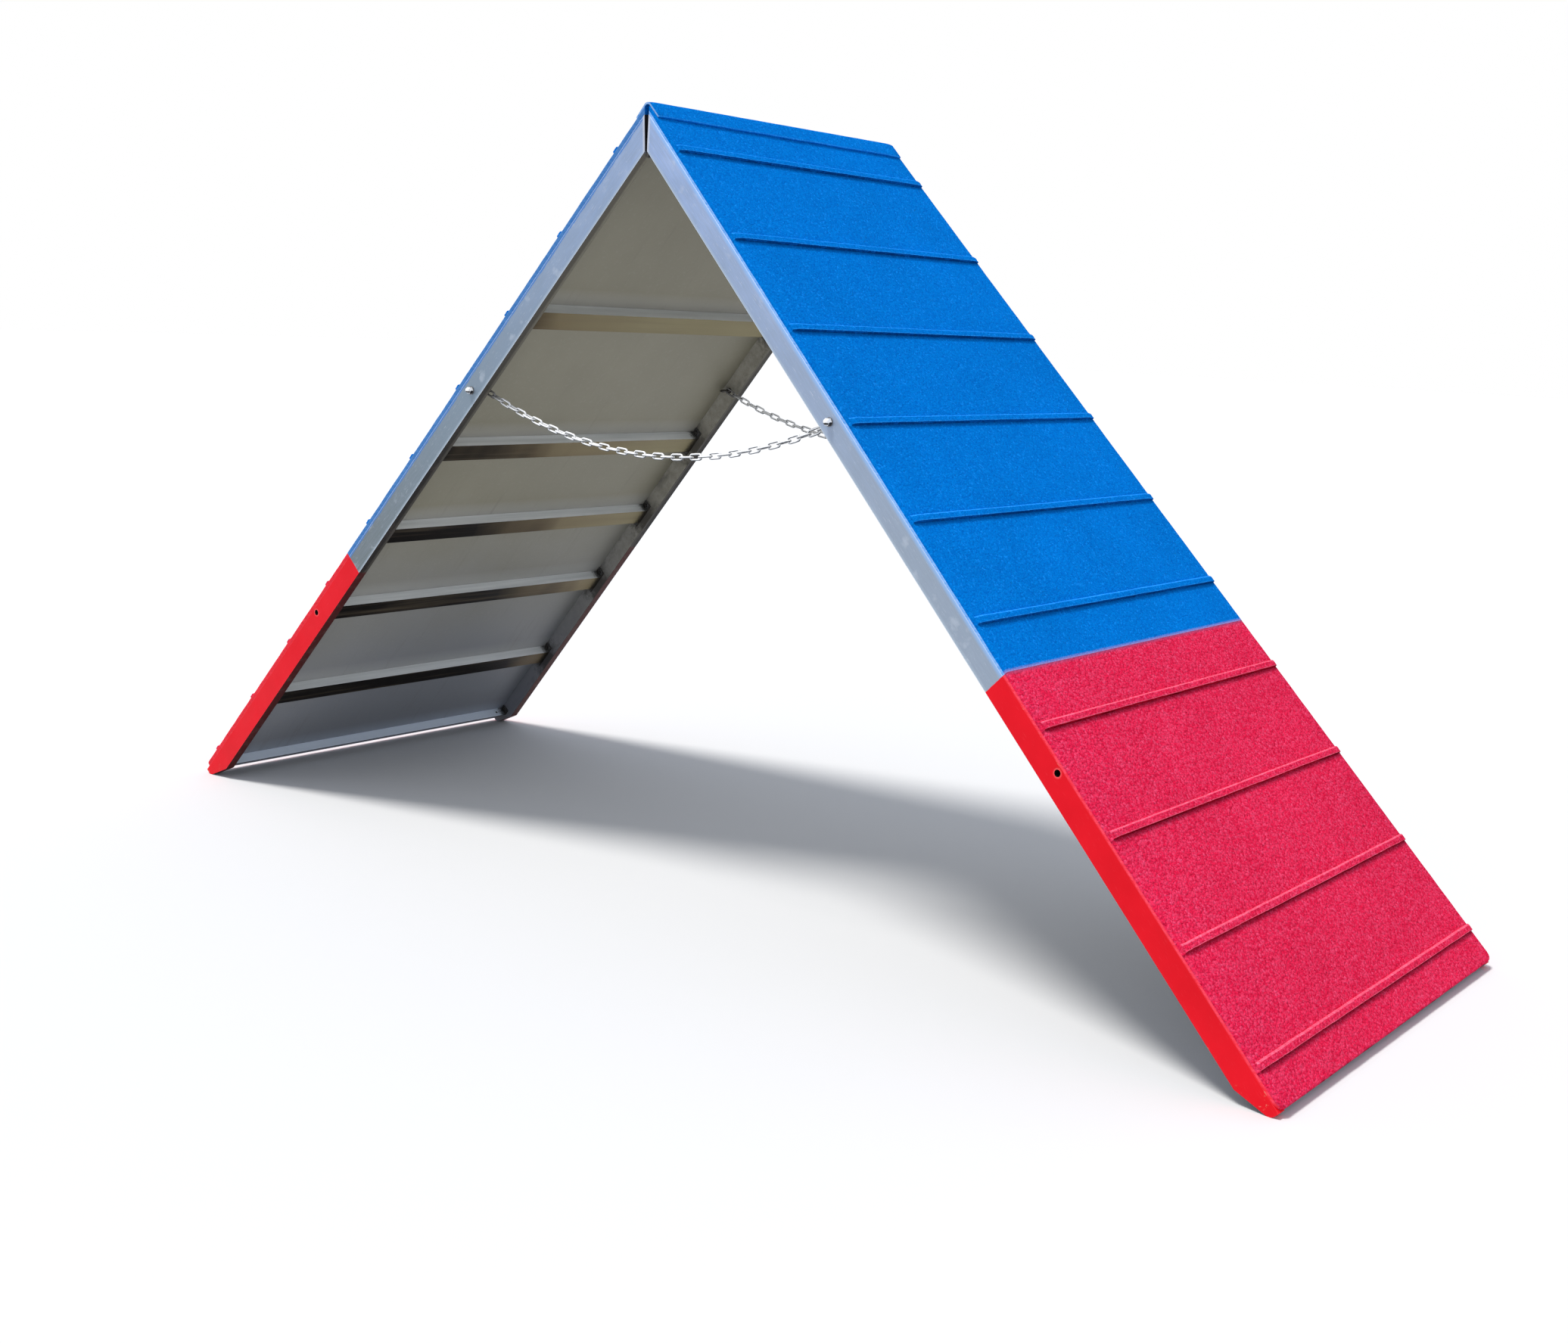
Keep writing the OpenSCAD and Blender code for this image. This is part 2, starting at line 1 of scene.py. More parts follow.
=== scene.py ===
import math
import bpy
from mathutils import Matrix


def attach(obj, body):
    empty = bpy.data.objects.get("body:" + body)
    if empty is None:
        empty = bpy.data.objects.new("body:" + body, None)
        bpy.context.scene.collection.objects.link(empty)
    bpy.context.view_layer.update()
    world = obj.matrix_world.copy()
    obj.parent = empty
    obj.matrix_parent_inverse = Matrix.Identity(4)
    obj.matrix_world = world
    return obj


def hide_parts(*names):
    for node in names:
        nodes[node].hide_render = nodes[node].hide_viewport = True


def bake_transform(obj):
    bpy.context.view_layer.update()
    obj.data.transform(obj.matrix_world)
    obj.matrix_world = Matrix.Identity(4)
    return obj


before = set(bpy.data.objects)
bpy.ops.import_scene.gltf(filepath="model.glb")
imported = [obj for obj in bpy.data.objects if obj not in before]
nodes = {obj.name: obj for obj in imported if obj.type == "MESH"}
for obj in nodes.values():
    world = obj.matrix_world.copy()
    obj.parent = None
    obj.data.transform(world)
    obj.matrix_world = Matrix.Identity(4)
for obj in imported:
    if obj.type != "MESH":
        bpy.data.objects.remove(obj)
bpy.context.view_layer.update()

from types import SimpleNamespace

import bpy
from mathutils import Matrix, Vector, noise

# Sizes of the part, in metres. In a ramp's own frame x runs down the slope from the hinge pin,
# and z square to it
STAND = math.radians(44.5)
RIDGE = math.radians(46.9)
HEEL = math.radians(23.0)
RAMP_LEN, TOP_W, FOOT_W = 2.616, 0.907, 1.139
RAIL_LO, RAIL_HI, RUBBER_HI = 0.008, 0.068, 0.082
NOSE_R, HEEL_BACK = 0.021, 0.086
RIDGE_FACE = 0.0032
CONTACT_X = RAMP_LEN - 1.055
ANGLE_X = RAMP_LEN - 0.070
MEMBERS, MEMBER_W, MEMBER_REACH = (0.578, 1.085, 1.433, 1.779, 2.199), 0.060, 0.055
SIN, COS, TAN = math.sin(STAND), math.cos(STAND), math.tan(STAND)
NOSE_X = RAMP_LEN - NOSE_R
NOSE_Z = RAIL_LO + (HEEL_BACK - NOSE_R * (1 - math.sin(HEEL))) * math.tan(HEEL) + NOSE_R * math.cos(HEEL)
PIN_Z = NOSE_X * COS - NOSE_Z * SIN + NOSE_R
RIDGE_Z = PIN_Z + RUBBER_HI / SIN
SPLAY = math.atan((FOOT_W - TOP_W) / 2 / RAMP_LEN)
SIDES = {"left": -1, "right": 1}

# Where a finish is in a piece's list, and how far a face has to look sideways to count as an edge or end
FACE, EDGE, PAINTED_SHADE, END = 0, 1, 2, 2
SIDE_FACE = 0.75

# Edges that turn by more than this stay sharp
SMOOTH_ANGLE = math.radians(40.0)

# The rubber sheets. Waves are pairs: how far they reach, in metres or as a share, and how close they lie
SEED_STEP = 7.31
SHEET_SEEDS = {"left": 57, "right": 11}
DIMPLE_SEED, FOOT_SEED, RED_SEED = 2, 6, 4
BLUE_STEPS, RED_STEPS, CORNER_STEPS, SHEET_COLS = 96, 90, 9, 68
CORNER_R, FOOT_R, EDGE_R, EDGE_STEPS = 0.025, 0.004, 0.0035, 4
GLUE_LINE, SIDE_TRIM, EDGE_INSET = 0.0001, 0.006, 0.0006
EDGE_WAVES = ((0.0009, 30.0), (0.0007, 8.0))
FOOT_WAVES = ((0.0014, 55.0), (0.0012, 14.0))
DIMPLES = ((0.0003, 22.0),)

# The slats. Walls and rounds are shares of the height, apart from the width of the uphill one
SLAT_N, FIRST_SLAT, SLAT_PITCH = 10, 0.074, 0.2728
SLAT_W, SLAT_H, SLAT_INSET = 0.020, 0.008, 0.002
SLAT_STEPS, SLAT_BEND_STEPS = 140, 4
SLAT_ENDS, SLAT_END_W = (0.55, 0.78, 0.90, 0.96, 1.0), 0.93
SLAT_SUNK, SLAT_DRAFT, SLAT_CROWN = 0.0004, 0.0002, 0.0004
UPHILL_WALL, UPHILL_ROUND_W, UPHILL_ROUND_H = 0.15, 0.0080, 0.68
DOWNHILL_WALL, DOWNHILL_ROUND, CROWN_AT = 0.25, 0.25, 0.68
SLAT_HEIGHT_WAVES = ((0.05, 21.0), (0.05, 140.0))
UPHILL_WAVES = ((0.0007, 16.0), (0.0007, 130.0))
DOWNHILL_WAVES = ((0.0007, 16.0), (0.0005, 130.0))
SLAT_LINE_WAVES = ((0.0006, 3.0),)
UPHILL_SEED, DOWNHILL_SEED, LINE_SEED, BLUE_SLAT_SEED, RED_SLAT_SEED = 3, 5, 9, 20, 24
# Slat bends that look downhill or uphill past the other two of these take the second finish, a painted
# highlight
# Slat faces that look further downhill than the first of these take the third finish, painted shade
PAINTED_SHADE_FROM, HIGHLIGHT_DOWNHILL, HIGHLIGHT_UPHILL = 0.6, 0.1, -0.2

# The ridge flap. A tip's outline is how far along the leg, and how far out as a share of the thickness
FLAP_T, FLAP_LEG, FLAP_R, FLAP_INSET = 0.006, 0.050, 0.010, 0.002
FLAP_CLEAR, FLAP_GLUE = 0.0005, 0.0002
FLAP_STEPS, FLAP_BEND_STEPS = 70, 10
FLAP_ENDS = (0.70, 0.93, 1.0)
FLAP_THICK_WAVES = ((0.04, 18.0),)
FLAP_LEG_WAVES = ((0.0012, 12.0), (0.0008, 45.0))
FLAP_FACE_WAVES = ((0.0002, 25.0),)
THICK_SEED, LEG_SEED, FACE_SEED = 3, 40, 5
FLAP_TIP_LIFT, FLAP_FACE_AT = 0.0003, 0.55
FLAP_TIP = ((0.0006, 0.35), (0.0003, 0.72), (-0.0016, 1.0))
# Flap bends turned between these take the second finish, a painted highlight
FLAP_HIGHLIGHT = (0.3, 0.9)

# The chains and the eye bolts that hold them
LINK_D, LINK_PITCH, LINK_B, PLAY = 0.005, 0.0325, 0.008, 0.0003
LINK_SIDES, LINK_BEND_STEPS, WELD_SWELL = 10, 8, 1.13
RAIL_W, COLLAR_H, EYE_R, EYE_WIRE = 0.025, 0.003, 0.012, 0.0035
EYE_OUT = RAIL_W + COLLAR_H + EYE_R + EYE_WIRE
CHAIN_AT, RAIL_MID, LINKS_A_SIDE = 0.845, 0.038, 19
CATENARY_MIN, CATENARY_MAX, HALVINGS = 0.05, 20.0, 60


def half_w(x):
    """Half of the frame's width at a distance down the slope."""
    return TOP_W / 2 + x * math.tan(SPLAY)


def ramp(side, x, y, z):
    """A point of a ramp's own frame, in the row frame."""
    return Vector((side * (x * SIN + z * COS), y, PIN_Z - x * COS + z * SIN))


def face_x(face, z):
    """Where a ridge face is at a height, in a ramp's own frame."""
    return (face - z * math.cos(RIDGE)) / math.sin(RIDGE)


# Shader nodes

def material(name, roughness, metallic=0.0, specular=0.5):
    m = bpy.data.materials.new(name)
    m.use_nodes = True
    shader = m.node_tree.nodes["Principled BSDF"]
    shader.inputs["Roughness"].default_value = roughness
    shader.inputs["Metallic"].default_value = metallic
    shader.inputs["Specular IOR Level"].default_value = specular
    return m, m.node_tree, shader


def node(tree, kind, values=None, **options):
    """A node of a kind. Values that are sockets are linked to its inputs, and plain ones are set on them."""
    n = tree.nodes.new("ShaderNode" + kind)
    for key, value in options.items():
        setattr(n, key, value)
    for key, value in (values or {}).items():
        if isinstance(value, bpy.types.NodeSocket):
            tree.links.new(value, n.inputs[key])
        else:
            n.inputs[key].default_value = value
    return n


def place(tree):
    """Where a point of the piece is at rest, in metres."""
    return node(tree, "TexCoord").outputs["Object"]


def normal_of(tree):
    """The way a face looks at rest."""
    return node(tree, "TexCoord").outputs["Normal"]


def part_of(tree, vector, axis):
    return node(tree, "SeparateXYZ", {"Vector": vector}).outputs[axis]


def stretch(tree, vector, scale):
    return node(tree, "Mapping", {"Vector": vector, "Scale": scale}).outputs["Vector"]


def clouds(tree, vector, scale, detail=4.0, roughness=0.55):
    return node(tree, "TexNoise", {"Vector": vector, "Scale": scale, "Detail": detail,
                                   "Roughness": roughness}).outputs["Fac"]


def ramp_colors(tree, factor, stops):
    n = node(tree, "ValToRGB", {"Fac": factor})
    band = n.color_ramp.elements
    while len(band) < len(stops):
        band.new(0.5)
    for e, (at, color) in zip(band, stops):
        e.position = at
        e.color = (*color, 1.0)
    return n.outputs["Color"]


def ramp_value(tree, factor, low, high, to_low=0.0, to_high=1.0):
    return node(tree, "MapRange", {"Value": factor, "From Min": low, "From Max": high,
                                   "To Min": to_low, "To Max": to_high}).outputs["Result"]


def mix(tree, factor, a, b, blend="MIX"):
    """A mix of two colours. The node has its factor at input 0, and its colours at inputs 6 and 7."""
    n = node(tree, "Mix", None, data_type="RGBA", blend_type=blend)
    for key, value in ((0, factor), (6, a), (7, b)):
        if isinstance(value, bpy.types.NodeSocket):
            tree.links.new(value, n.inputs[key])
        else:
            n.inputs[key].default_value = value if key == 0 else (*value, 1.0)
    return n.outputs[2]


def math_node(tree, kind, a, b=0.0):
    return node(tree, "Math", {0: a, 1: b}, operation=kind).outputs["Value"]


def dot_node(tree, a, b):
    return node(tree, "VectorMath", {0: a, 1: b}, operation="DOT_PRODUCT").outputs["Value"]


def tint(tree, color, factor, low, high, share, other):
    """A colour that turns to another, up to a share, as a factor goes from low to high."""
    return mix(tree, ramp_value(tree, factor, low, high, 0.0, share), color, other)


def jitter(tree, value, marks, by):
    """A value that marks shift by up to so much either way."""
    return math_node(tree, "ADD", value, ramp_value(tree, marks, 0.3, 0.7, -by, by))


def scaled(color, by):
    return tuple(c * by for c in color)


def bump(tree, shader, height, strength, distance, normal=None):
    n = node(tree, "Bump", {"Height": height, "Strength": strength, "Distance": distance})
    if normal is not None:
        tree.links.new(normal, n.inputs["Normal"])
    tree.links.new(n.outputs["Normal"], shader.inputs["Normal"])


def ramp_place(tree, way, start):
    """How far a point of either ramp is along a way of the right ramp, from a start, in metres."""
    mirrored = node(tree, "VectorMath", {0: place(tree)}, operation="ABSOLUTE").outputs["Vector"]
    return math_node(tree, "SUBTRACT", dot_node(tree, mirrored, way), start)


def slope_place(tree):
    """How far down its slope a point is, from the hinge pin."""
    return ramp_place(tree, (SIN, 0.0, -COS), -PIN_Z * COS)


def height_place(tree):
    """How far out from the hinge pin a point is, square to the running surface."""
    return ramp_place(tree, (COS, 0.0, SIN), PIN_Z * SIN)


def from_side(tree, slope):
    """How far in from the outer face of the nearer rail a point is."""
    half = math_node(tree, "ADD", math_node(tree, "MULTIPLY", slope, math.tan(SPLAY)), TOP_W / 2)
    across = part_of(tree, place(tree), "Y")
    return math_node(tree, "SUBTRACT", half, math_node(tree, "ABSOLUTE", across))


def facing(tree, direction):
    """1 on faces of a solid that look in a direction, 0 on others."""
    return ramp_value(tree, dot_node(tree, normal_of(tree), direction), 0.5, 0.8)


def sideways(tree):
    """Above 0 on faces that look out of the frame at either side, below 0 on those that look in."""
    normal_y = part_of(tree, normal_of(tree), "Y")
    return math_node(tree, "MULTIPLY", normal_y, part_of(tree, place(tree), "Y"))


def inward(tree):
    """1 on faces that look towards the middle of the frame, 0 on others."""
    return ramp_value(tree, sideways(tree), -0.2, -0.3)


def outward(tree):
    """1 on faces that look away from the middle of the frame, 0 on others."""
    return ramp_value(tree, sideways(tree), 0.3, 0.4)


def soft_edges(tree, radius):
    """A normal that rounds the sharp edges of a solid."""
    return node(tree, "Bevel", {"Radius": radius}, samples=4).outputs["Normal"]


def edge_mask(tree, radius):
    """Near 1 along a sharp edge and 0 on a flat face."""
    plain = node(tree, "NewGeometry").outputs["Normal"]
    return ramp_value(tree, dot_node(tree, soft_edges(tree, radius), plain), 0.995, 0.90)


# Materials

def granules(name, deep, body, light, grain, speck, relief, seam):
    """Bonded rubber granules: grains with dark gaps, pits and pale chips, slow shades, and a painted shadow
    below each slat.

    Grain is how fine the grains are, and speck how much the gaps show. The seam is how far from the contact
    line the colour starts to turn, and what it turns to.
    """
    m, tree, shader = material(name, 0.88, specular=0.01)
    at = place(tree)
    warp = node(tree, "TexNoise", {"Vector": at, "Scale": grain * 0.7, "Detail": 1.0}).outputs["Color"]
    bent = node(tree, "VectorMath", {0: warp, 1: (0.006, 0.006, 0.006), 2: at}, operation="MULTIPLY_ADD")
    grains = node(tree, "TexVoronoi", {"Vector": bent.outputs["Vector"], "Scale": grain, "Randomness": 1.0})
    chances = node(tree, "SeparateColor", {"Color": grains.outputs["Color"]}).outputs
    shades = clouds(tree, at, 3.0, 6.0, 0.62)
    fine = clouds(tree, at, grain * 1.6, 3.0, 0.7)
    clumps = clouds(tree, at, grain * 0.45, 2.0, 0.6)
    pits = clouds(tree, at, grain * 1.15, 2.0, 0.6)
    color = ramp_colors(tree, chances["Red"], [(0.05, deep), (0.45, body), (0.95, light)])
    color = mix(tree, 0.5, color, ramp_colors(tree, fine, [(0.32, deep), (0.50, body), (0.70, light)]))
    color = tint(tree, color, clumps, 0.52, 0.72, 0.45, light)
    shade = ramp_colors(tree, shades, [(0.30, (0.84, 0.84, 0.84)), (0.70, (1.0, 1.0, 1.0))])
    color = mix(tree, 1.0, color, shade, "MULTIPLY")
    color = tint(tree, color, grains.outputs["Distance"], 0.45, 0.75, speck, scaled(deep, 0.5))
    pale = tuple(min(c * 1.2 + 0.01, 1.0) for c in light)
    color = tint(tree, color, chances["Green"], 0.88, 0.96, 0.42, pale)
    color = tint(tree, color, pits, 0.61, 0.67, speck * 1.7, scaled(deep, 0.35))
    slope = slope_place(tree)
    # Painted shadow on the rubber just below each slat
    below_slat = math_node(tree, "FLOORED_MODULO", math_node(tree, "SUBTRACT", slope, FIRST_SLAT), SLAT_PITCH)
    painted_shading = ramp_value(tree, below_slat, 0.002, 0.008, speck * 1.8, 0.0)
    color = mix(tree, painted_shading, color, scaled(deep, 0.25))
    reach, worn = seam
    color = tint(tree, color, jitter(tree, slope, fine, 0.002), CONTACT_X + reach, CONTACT_X, 0.85, worn)
    tree.links.new(color, shader.inputs["Base Color"])
    height = math_node(tree, "ADD", math_node(tree, "MULTIPLY", grains.outputs["Distance"], -0.9),
                       math_node(tree, "MULTIPLY", fine, 0.7))
    bump(tree, shader, height, relief, 0.0035)
    return m


def cut_rubber(name, dull, bright):
    """The trimmed edge of the rubber: streaked, without the granules of its face."""
    m, tree, shader = material(name, 0.75, specular=0.2)
    streak = clouds(tree, stretch(tree, place(tree), (70.0, 70.0, 160.0)), 1.0, 4.0, 0.7)
    tree.links.new(ramp_colors(tree, streak, [(0.35, dull), (0.65, bright)]), shader.inputs["Base Color"])
    bump(tree, shader, streak, 0.6, 0.0015)
    return m


def rail_wear(tree, side):
    """What the faces of a rail share: where a point is, and the marks on the metal there."""
    at = place(tree)
    along = node(tree, "VectorRotate", {"Vector": at, "Axis": (0.0, 1.0, 0.0),
                                        "Angle": side * (STAND - math.pi / 2)},
                 rotation_type="AXIS_ANGLE").outputs["Vector"]
    scratches = clouds(tree, stretch(tree, along, (14.0, 900.0, 900.0)), 1.0, 2.0, 0.5)
    return SimpleNamespace(
        at=at,
        slope=slope_place(tree),
        out=height_place(tree),
        lines=clouds(tree, stretch(tree, along, (2.0, 420.0, 420.0)), 1.0, 3.0, 0.6),
        patch=clouds(tree, stretch(tree, along, (7.0, 16.0, 16.0)), 1.0, 4.0, 0.6),
        scuff=clouds(tree, at, 38.0, 6.0, 0.75),
        blot=clouds(tree, at, 26.0, 3.0, 0.5),
        scratched=ramp_value(tree, scratches, 0.68, 0.74, 0.0, 0.6),
        edges=edge_mask(tree, 0.0030))


def rail_outside(tree, side, wear):
    """Bare aluminium: blotched, drawn and scratched, greyer down the slope, with a blue rim at the rubber,
    and painted highlights on the rims and on the edges, which are partly worn bright.
    """
    color = ramp_colors(tree, wear.patch, [(0.30, (0.285, 0.385, 0.59)), (0.55, (0.335, 0.445, 0.69)),
                                           (0.72, (0.405, 0.515, 0.76))])
    if side > 0:
        color = tint(tree, color, wear.slope, 0.1, 1.2, 0.8, (0.315, 0.370, 0.425))
    else:
        color = tint(tree, color, wear.slope, -0.2, 0.85, 0.9, (0.205, 0.265, 0.310))
        color = tint(tree, color, wear.slope, 0.9, 1.45, 0.85, (0.160, 0.190, 0.195))
    color = tint(tree, color, wear.scuff, 0.62, 0.75, 0.30, (0.60, 0.65, 0.72))
    color = tint(tree, color, wear.blot, 0.62, 0.74, 0.30, (0.66, 0.72, 0.80))
    color = tint(tree, color, wear.lines, 0.35, 0.65, 0.30, (0.27, 0.31, 0.38))
    color = mix(tree, wear.scratched, color, (0.70, 0.75, 0.82))
    if side > 0:
        # A pale blue band at the top: a painted highlight along the edge and a painted reflection of the blue
        # rubber
        color = tint(tree, color, wear.out, RAIL_HI - 0.012, RAIL_HI - 0.002, 0.75, (0.28, 0.52, 0.92))
    else:
        ragged = jitter(tree, wear.out, wear.scuff, 0.002)
        color = tint(tree, color, ragged, RAIL_HI - 0.007, RAIL_HI - 0.004, 0.9, (0.070, 0.210, 0.540))
    # A pale band along the lower rim: a painted highlight
    color = tint(tree, color, wear.out, RAIL_LO + 0.008, RAIL_LO + 0.002, 0.6, (0.44, 0.53, 0.62))
    # Brighter along the edges: partly worn metal, partly a painted highlight
    return mix(tree, math_node(tree, "MULTIPLY", wear.edges, 0.85), color, (0.86, 0.92, 1.0))


def rail_inside(tree, wear):
    """The face towards the panel: dull, warm and darkened as painted shade, cooler down the slope, with a
    painted reflection of each crossmember's dark underside where it meets the rail.
    """
    # Painted shade: a darker colour than the outside faces
    color = ramp_colors(tree, wear.scuff, [(0.35, (0.235, 0.224, 0.188)), (0.65, (0.340, 0.327, 0.280))])
    color = tint(tree, color, wear.slope, 1.3, 2.4, 1.0, (0.230, 0.236, 0.260))
    color = tint(tree, color, wear.patch, 0.56, 0.70, 0.5, (0.070, 0.066, 0.062))
    spread = jitter(tree, wear.slope, wear.scuff, 0.03)
    # Painted reflection of each crossmember's dark underside, dark around the member
    for middle in MEMBERS:
        far = math_node(tree, "ABSOLUTE", math_node(tree, "SUBTRACT", spread, middle))
        color = tint(tree, color, far, MEMBER_REACH + 0.03, MEMBER_REACH - 0.02, 0.75, (0.030, 0.026, 0.023))
    return color


def rail_paint(tree, wear):
    """Red paint: brighter along the edges as a painted highlight, scratched, and chipped there and near the
    ground.
    """
    tone = clouds(tree, wear.at, 7.0, 5.0)
    color = ramp_colors(tree, tone, [(0.3, (0.72, 0.002, 0.011)), (0.7, (0.84, 0.004, 0.016))])
    # Brighter along the edges: a painted highlight
    color = mix(tree, math_node(tree, "MULTIPLY", wear.edges, 0.6), color, (1.0, 0.07, 0.10))
    color = mix(tree, math_node(tree, "MULTIPLY", wear.scratched, 0.5), color, (0.98, 0.10, 0.12))
    near_ground = ramp_value(tree, part_of(tree, wear.at, "Z"), 0.045, 0.008)
    exposed = math_node(tree, "MAXIMUM", wear.edges, near_ground)
    chipped = math_node(tree, "MULTIPLY", exposed, ramp_value(tree, wear.scuff, 0.60, 0.66))
    return mix(tree, chipped, color, (0.80, 0.52, 0.34))


def rail_beneath(tree, wear, zone):
    """The lower face: painted shade that darkens down the slope, dust beside the panel, and painted shade on
    the red paint in the zone.
    """
    # Painted shade on the lower face, darker down the slope
    lower = ramp_value(tree, wear.slope, 0.1, 1.1)
    color = mix(tree, lower, (0.115, 0.106, 0.086), (0.022, 0.020, 0.019))
    dust = mix(tree, lower, (0.24, 0.23, 0.175), (0.075, 0.069, 0.060))
    color = tint(tree, color, from_side(tree, wear.slope), 0.014, 0.020, 0.8, dust)
    # Painted shade on the red paint beneath
    color = mix(tree, zone, color, (0.060, 0.008, 0.008))
    return tint(tree, color, wear.scuff, 0.50, 0.70, 0.4, (0.11, 0.085, 0.075))


def rail_material(name, side):
    """A rail: bare aluminium, red paint outside beside the contact zone, dull within and beneath, with
    painted shade there.
    """
    m, tree, shader = material(name, 0.42, specular=0.12)
    wear = rail_wear(tree, side)
    inside = inward(tree)
    beneath = facing(tree, (-side * COS, 0.0, -SIN))
    wobble = math_node(tree, "MULTIPLY", math_node(tree, "SUBTRACT", clouds(tree, wear.at, 60.0), 0.5), 0.004)
    uneven = math_node(tree, "ADD", wear.slope, wobble)
    zone = ramp_value(tree, uneven, CONTACT_X - 0.0008, CONTACT_X + 0.0008)
    painted = math_node(tree, "MULTIPLY", zone, math_node(tree, "SUBTRACT", 1.0, inside))
    color = mix(tree, inside, rail_outside(tree, side, wear), rail_inside(tree, wear))
    color = mix(tree, painted, color, rail_paint(tree, wear))
    color = mix(tree, beneath, color, rail_beneath(tree, wear, zone))
    tree.links.new(color, shader.inputs["Base Color"])
    dull = math_node(tree, "MAXIMUM", painted, math_node(tree, "MAXIMUM", beneath, inside))
    tree.links.new(ramp_value(tree, dull, 0.0, 1.0, 0.45, 0.0), shader.inputs["Metallic"])
    tree.links.new(ramp_value(tree, wear.patch, 0.3, 0.7, 0.40, 0.54), shader.inputs["Roughness"])
    raised = math_node(tree, "SUBTRACT", painted, wear.scratched)
    relief = math_node(tree, "ADD", math_node(tree, "MULTIPLY", wear.lines, 0.5),
                       math_node(tree, "MULTIPLY", raised, 0.6))
    bump(tree, shader, relief, 0.25, 0.0004, soft_edges(tree, 0.0020))
    return m


def profile_material(name, side):
    """Crossmembers and angles: mill-finish aluminium, pale on the upper face as painted light, dark to
    brown-gold beneath as a painted reflection.
    """
    m, tree, shader = material(name, 0.34, 0.4, 0.35)
    at = place(tree)
    slope = slope_place(tree)
    streak = clouds(tree, stretch(tree, at, (60.0, 2.2, 60.0)), 1.0, 4.0, 0.55)
    broad = clouds(tree, stretch(tree, at, (1.5, 4.0, 1.5)), 1.0, 3.0, 0.5)
    dust = clouds(tree, at, 160.0, 4.0, 0.7)
    # Painted reflection on the faces beneath: dark to brown-gold across the frame, shifting down the slope
    lower = ramp_value(tree, slope, 0.5, 2.3, 0.55, -0.55)
    across = jitter(tree, math_node(tree, "ADD", part_of(tree, at, "Y"), lower), broad, 0.12)
    bronze = ramp_colors(tree, ramp_value(tree, across, -0.5, 0.7),
                         [(0.26, (0.006, 0.004, 0.003)), (0.42, (0.100, 0.074, 0.040)),
                          (0.54, (0.20, 0.160, 0.090)), (0.85, (0.235, 0.205, 0.118))])
    bronze = tint(tree, bronze, streak, 0.50, 0.75, 0.35, (0.20, 0.16, 0.11))
    bright = ramp_colors(tree, streak, [(0.3, (0.37, 0.375, 0.36)), (0.7, (0.54, 0.545, 0.53))])
    bright = tint(tree, bright, dust, 0.46, 0.64, 0.6, (0.78, 0.78, 0.75))
    # The upper face is given a pale colour as painted light
    pale = ramp_colors(tree, streak, [(0.3, (0.62, 0.640, 0.63)), (0.7, (0.85, 0.870, 0.86))])
    # Paler and bluer on the foot angle: painted light
    pale = tint(tree, pale, slope, 2.35, 2.50, 0.9, (0.80, 0.89, 1.0))
    upper = facing(tree, (-side * SIN, 0.0, COS))
    beneath = facing(tree, (-side * COS, 0.0, -SIN))
    color = mix(tree, beneath, mix(tree, upper, bright, pale), bronze)
    # Darker near the rails
    from_rail = jitter(tree, from_side(tree, slope), dust, 0.008)
    color = tint(tree, color, from_rail, 0.055, 0.038, 0.9, (0.028, 0.025, 0.022))
    tree.links.new(color, shader.inputs["Base Color"])
    tree.links.new(ramp_value(tree, upper, 0.0, 1.0, 0.4, 0.05), shader.inputs["Metallic"])
    tree.links.new(ramp_value(tree, beneath, 0.0, 1.0, 0.35, 0.04), shader.inputs["Specular IOR Level"])
    tree.links.new(ramp_value(tree, streak, 0.3, 0.7, 0.30, 0.46), shader.inputs["Roughness"])
    bump(tree, shader, streak, 0.2, 0.0004, soft_edges(tree, 0.0012))
    return m


def ridge_material(name, side):
    """The ridge plates: aluminium where they end beside the rails, and painted shade, near black, on the
    faces inside the ridge gap.
    """
    m, tree, shader = material(name, 0.5, 0.2)
    tone = clouds(tree, place(tree), 30.0, 5.0, 0.6)
    bare = ramp_colors(tree, tone, [(0.3, (0.40, 0.44, 0.54)), (0.7, (0.54, 0.58, 0.68))])
    # Painted shade on the faces inside the ridge gap
    painted_shading = ramp_colors(tree, tone, [(0.3, (0.008, 0.008, 0.009)), (0.7, (0.026, 0.025, 0.025))])
    tree.links.new(mix(tree, facing(tree, (-side, 0.0, 0.0)), bare, painted_shading), shader.inputs["Base Color"])
    bump(tree, shader, tone, 0.3, 0.0006, soft_edges(tree, 0.0010))
    return m


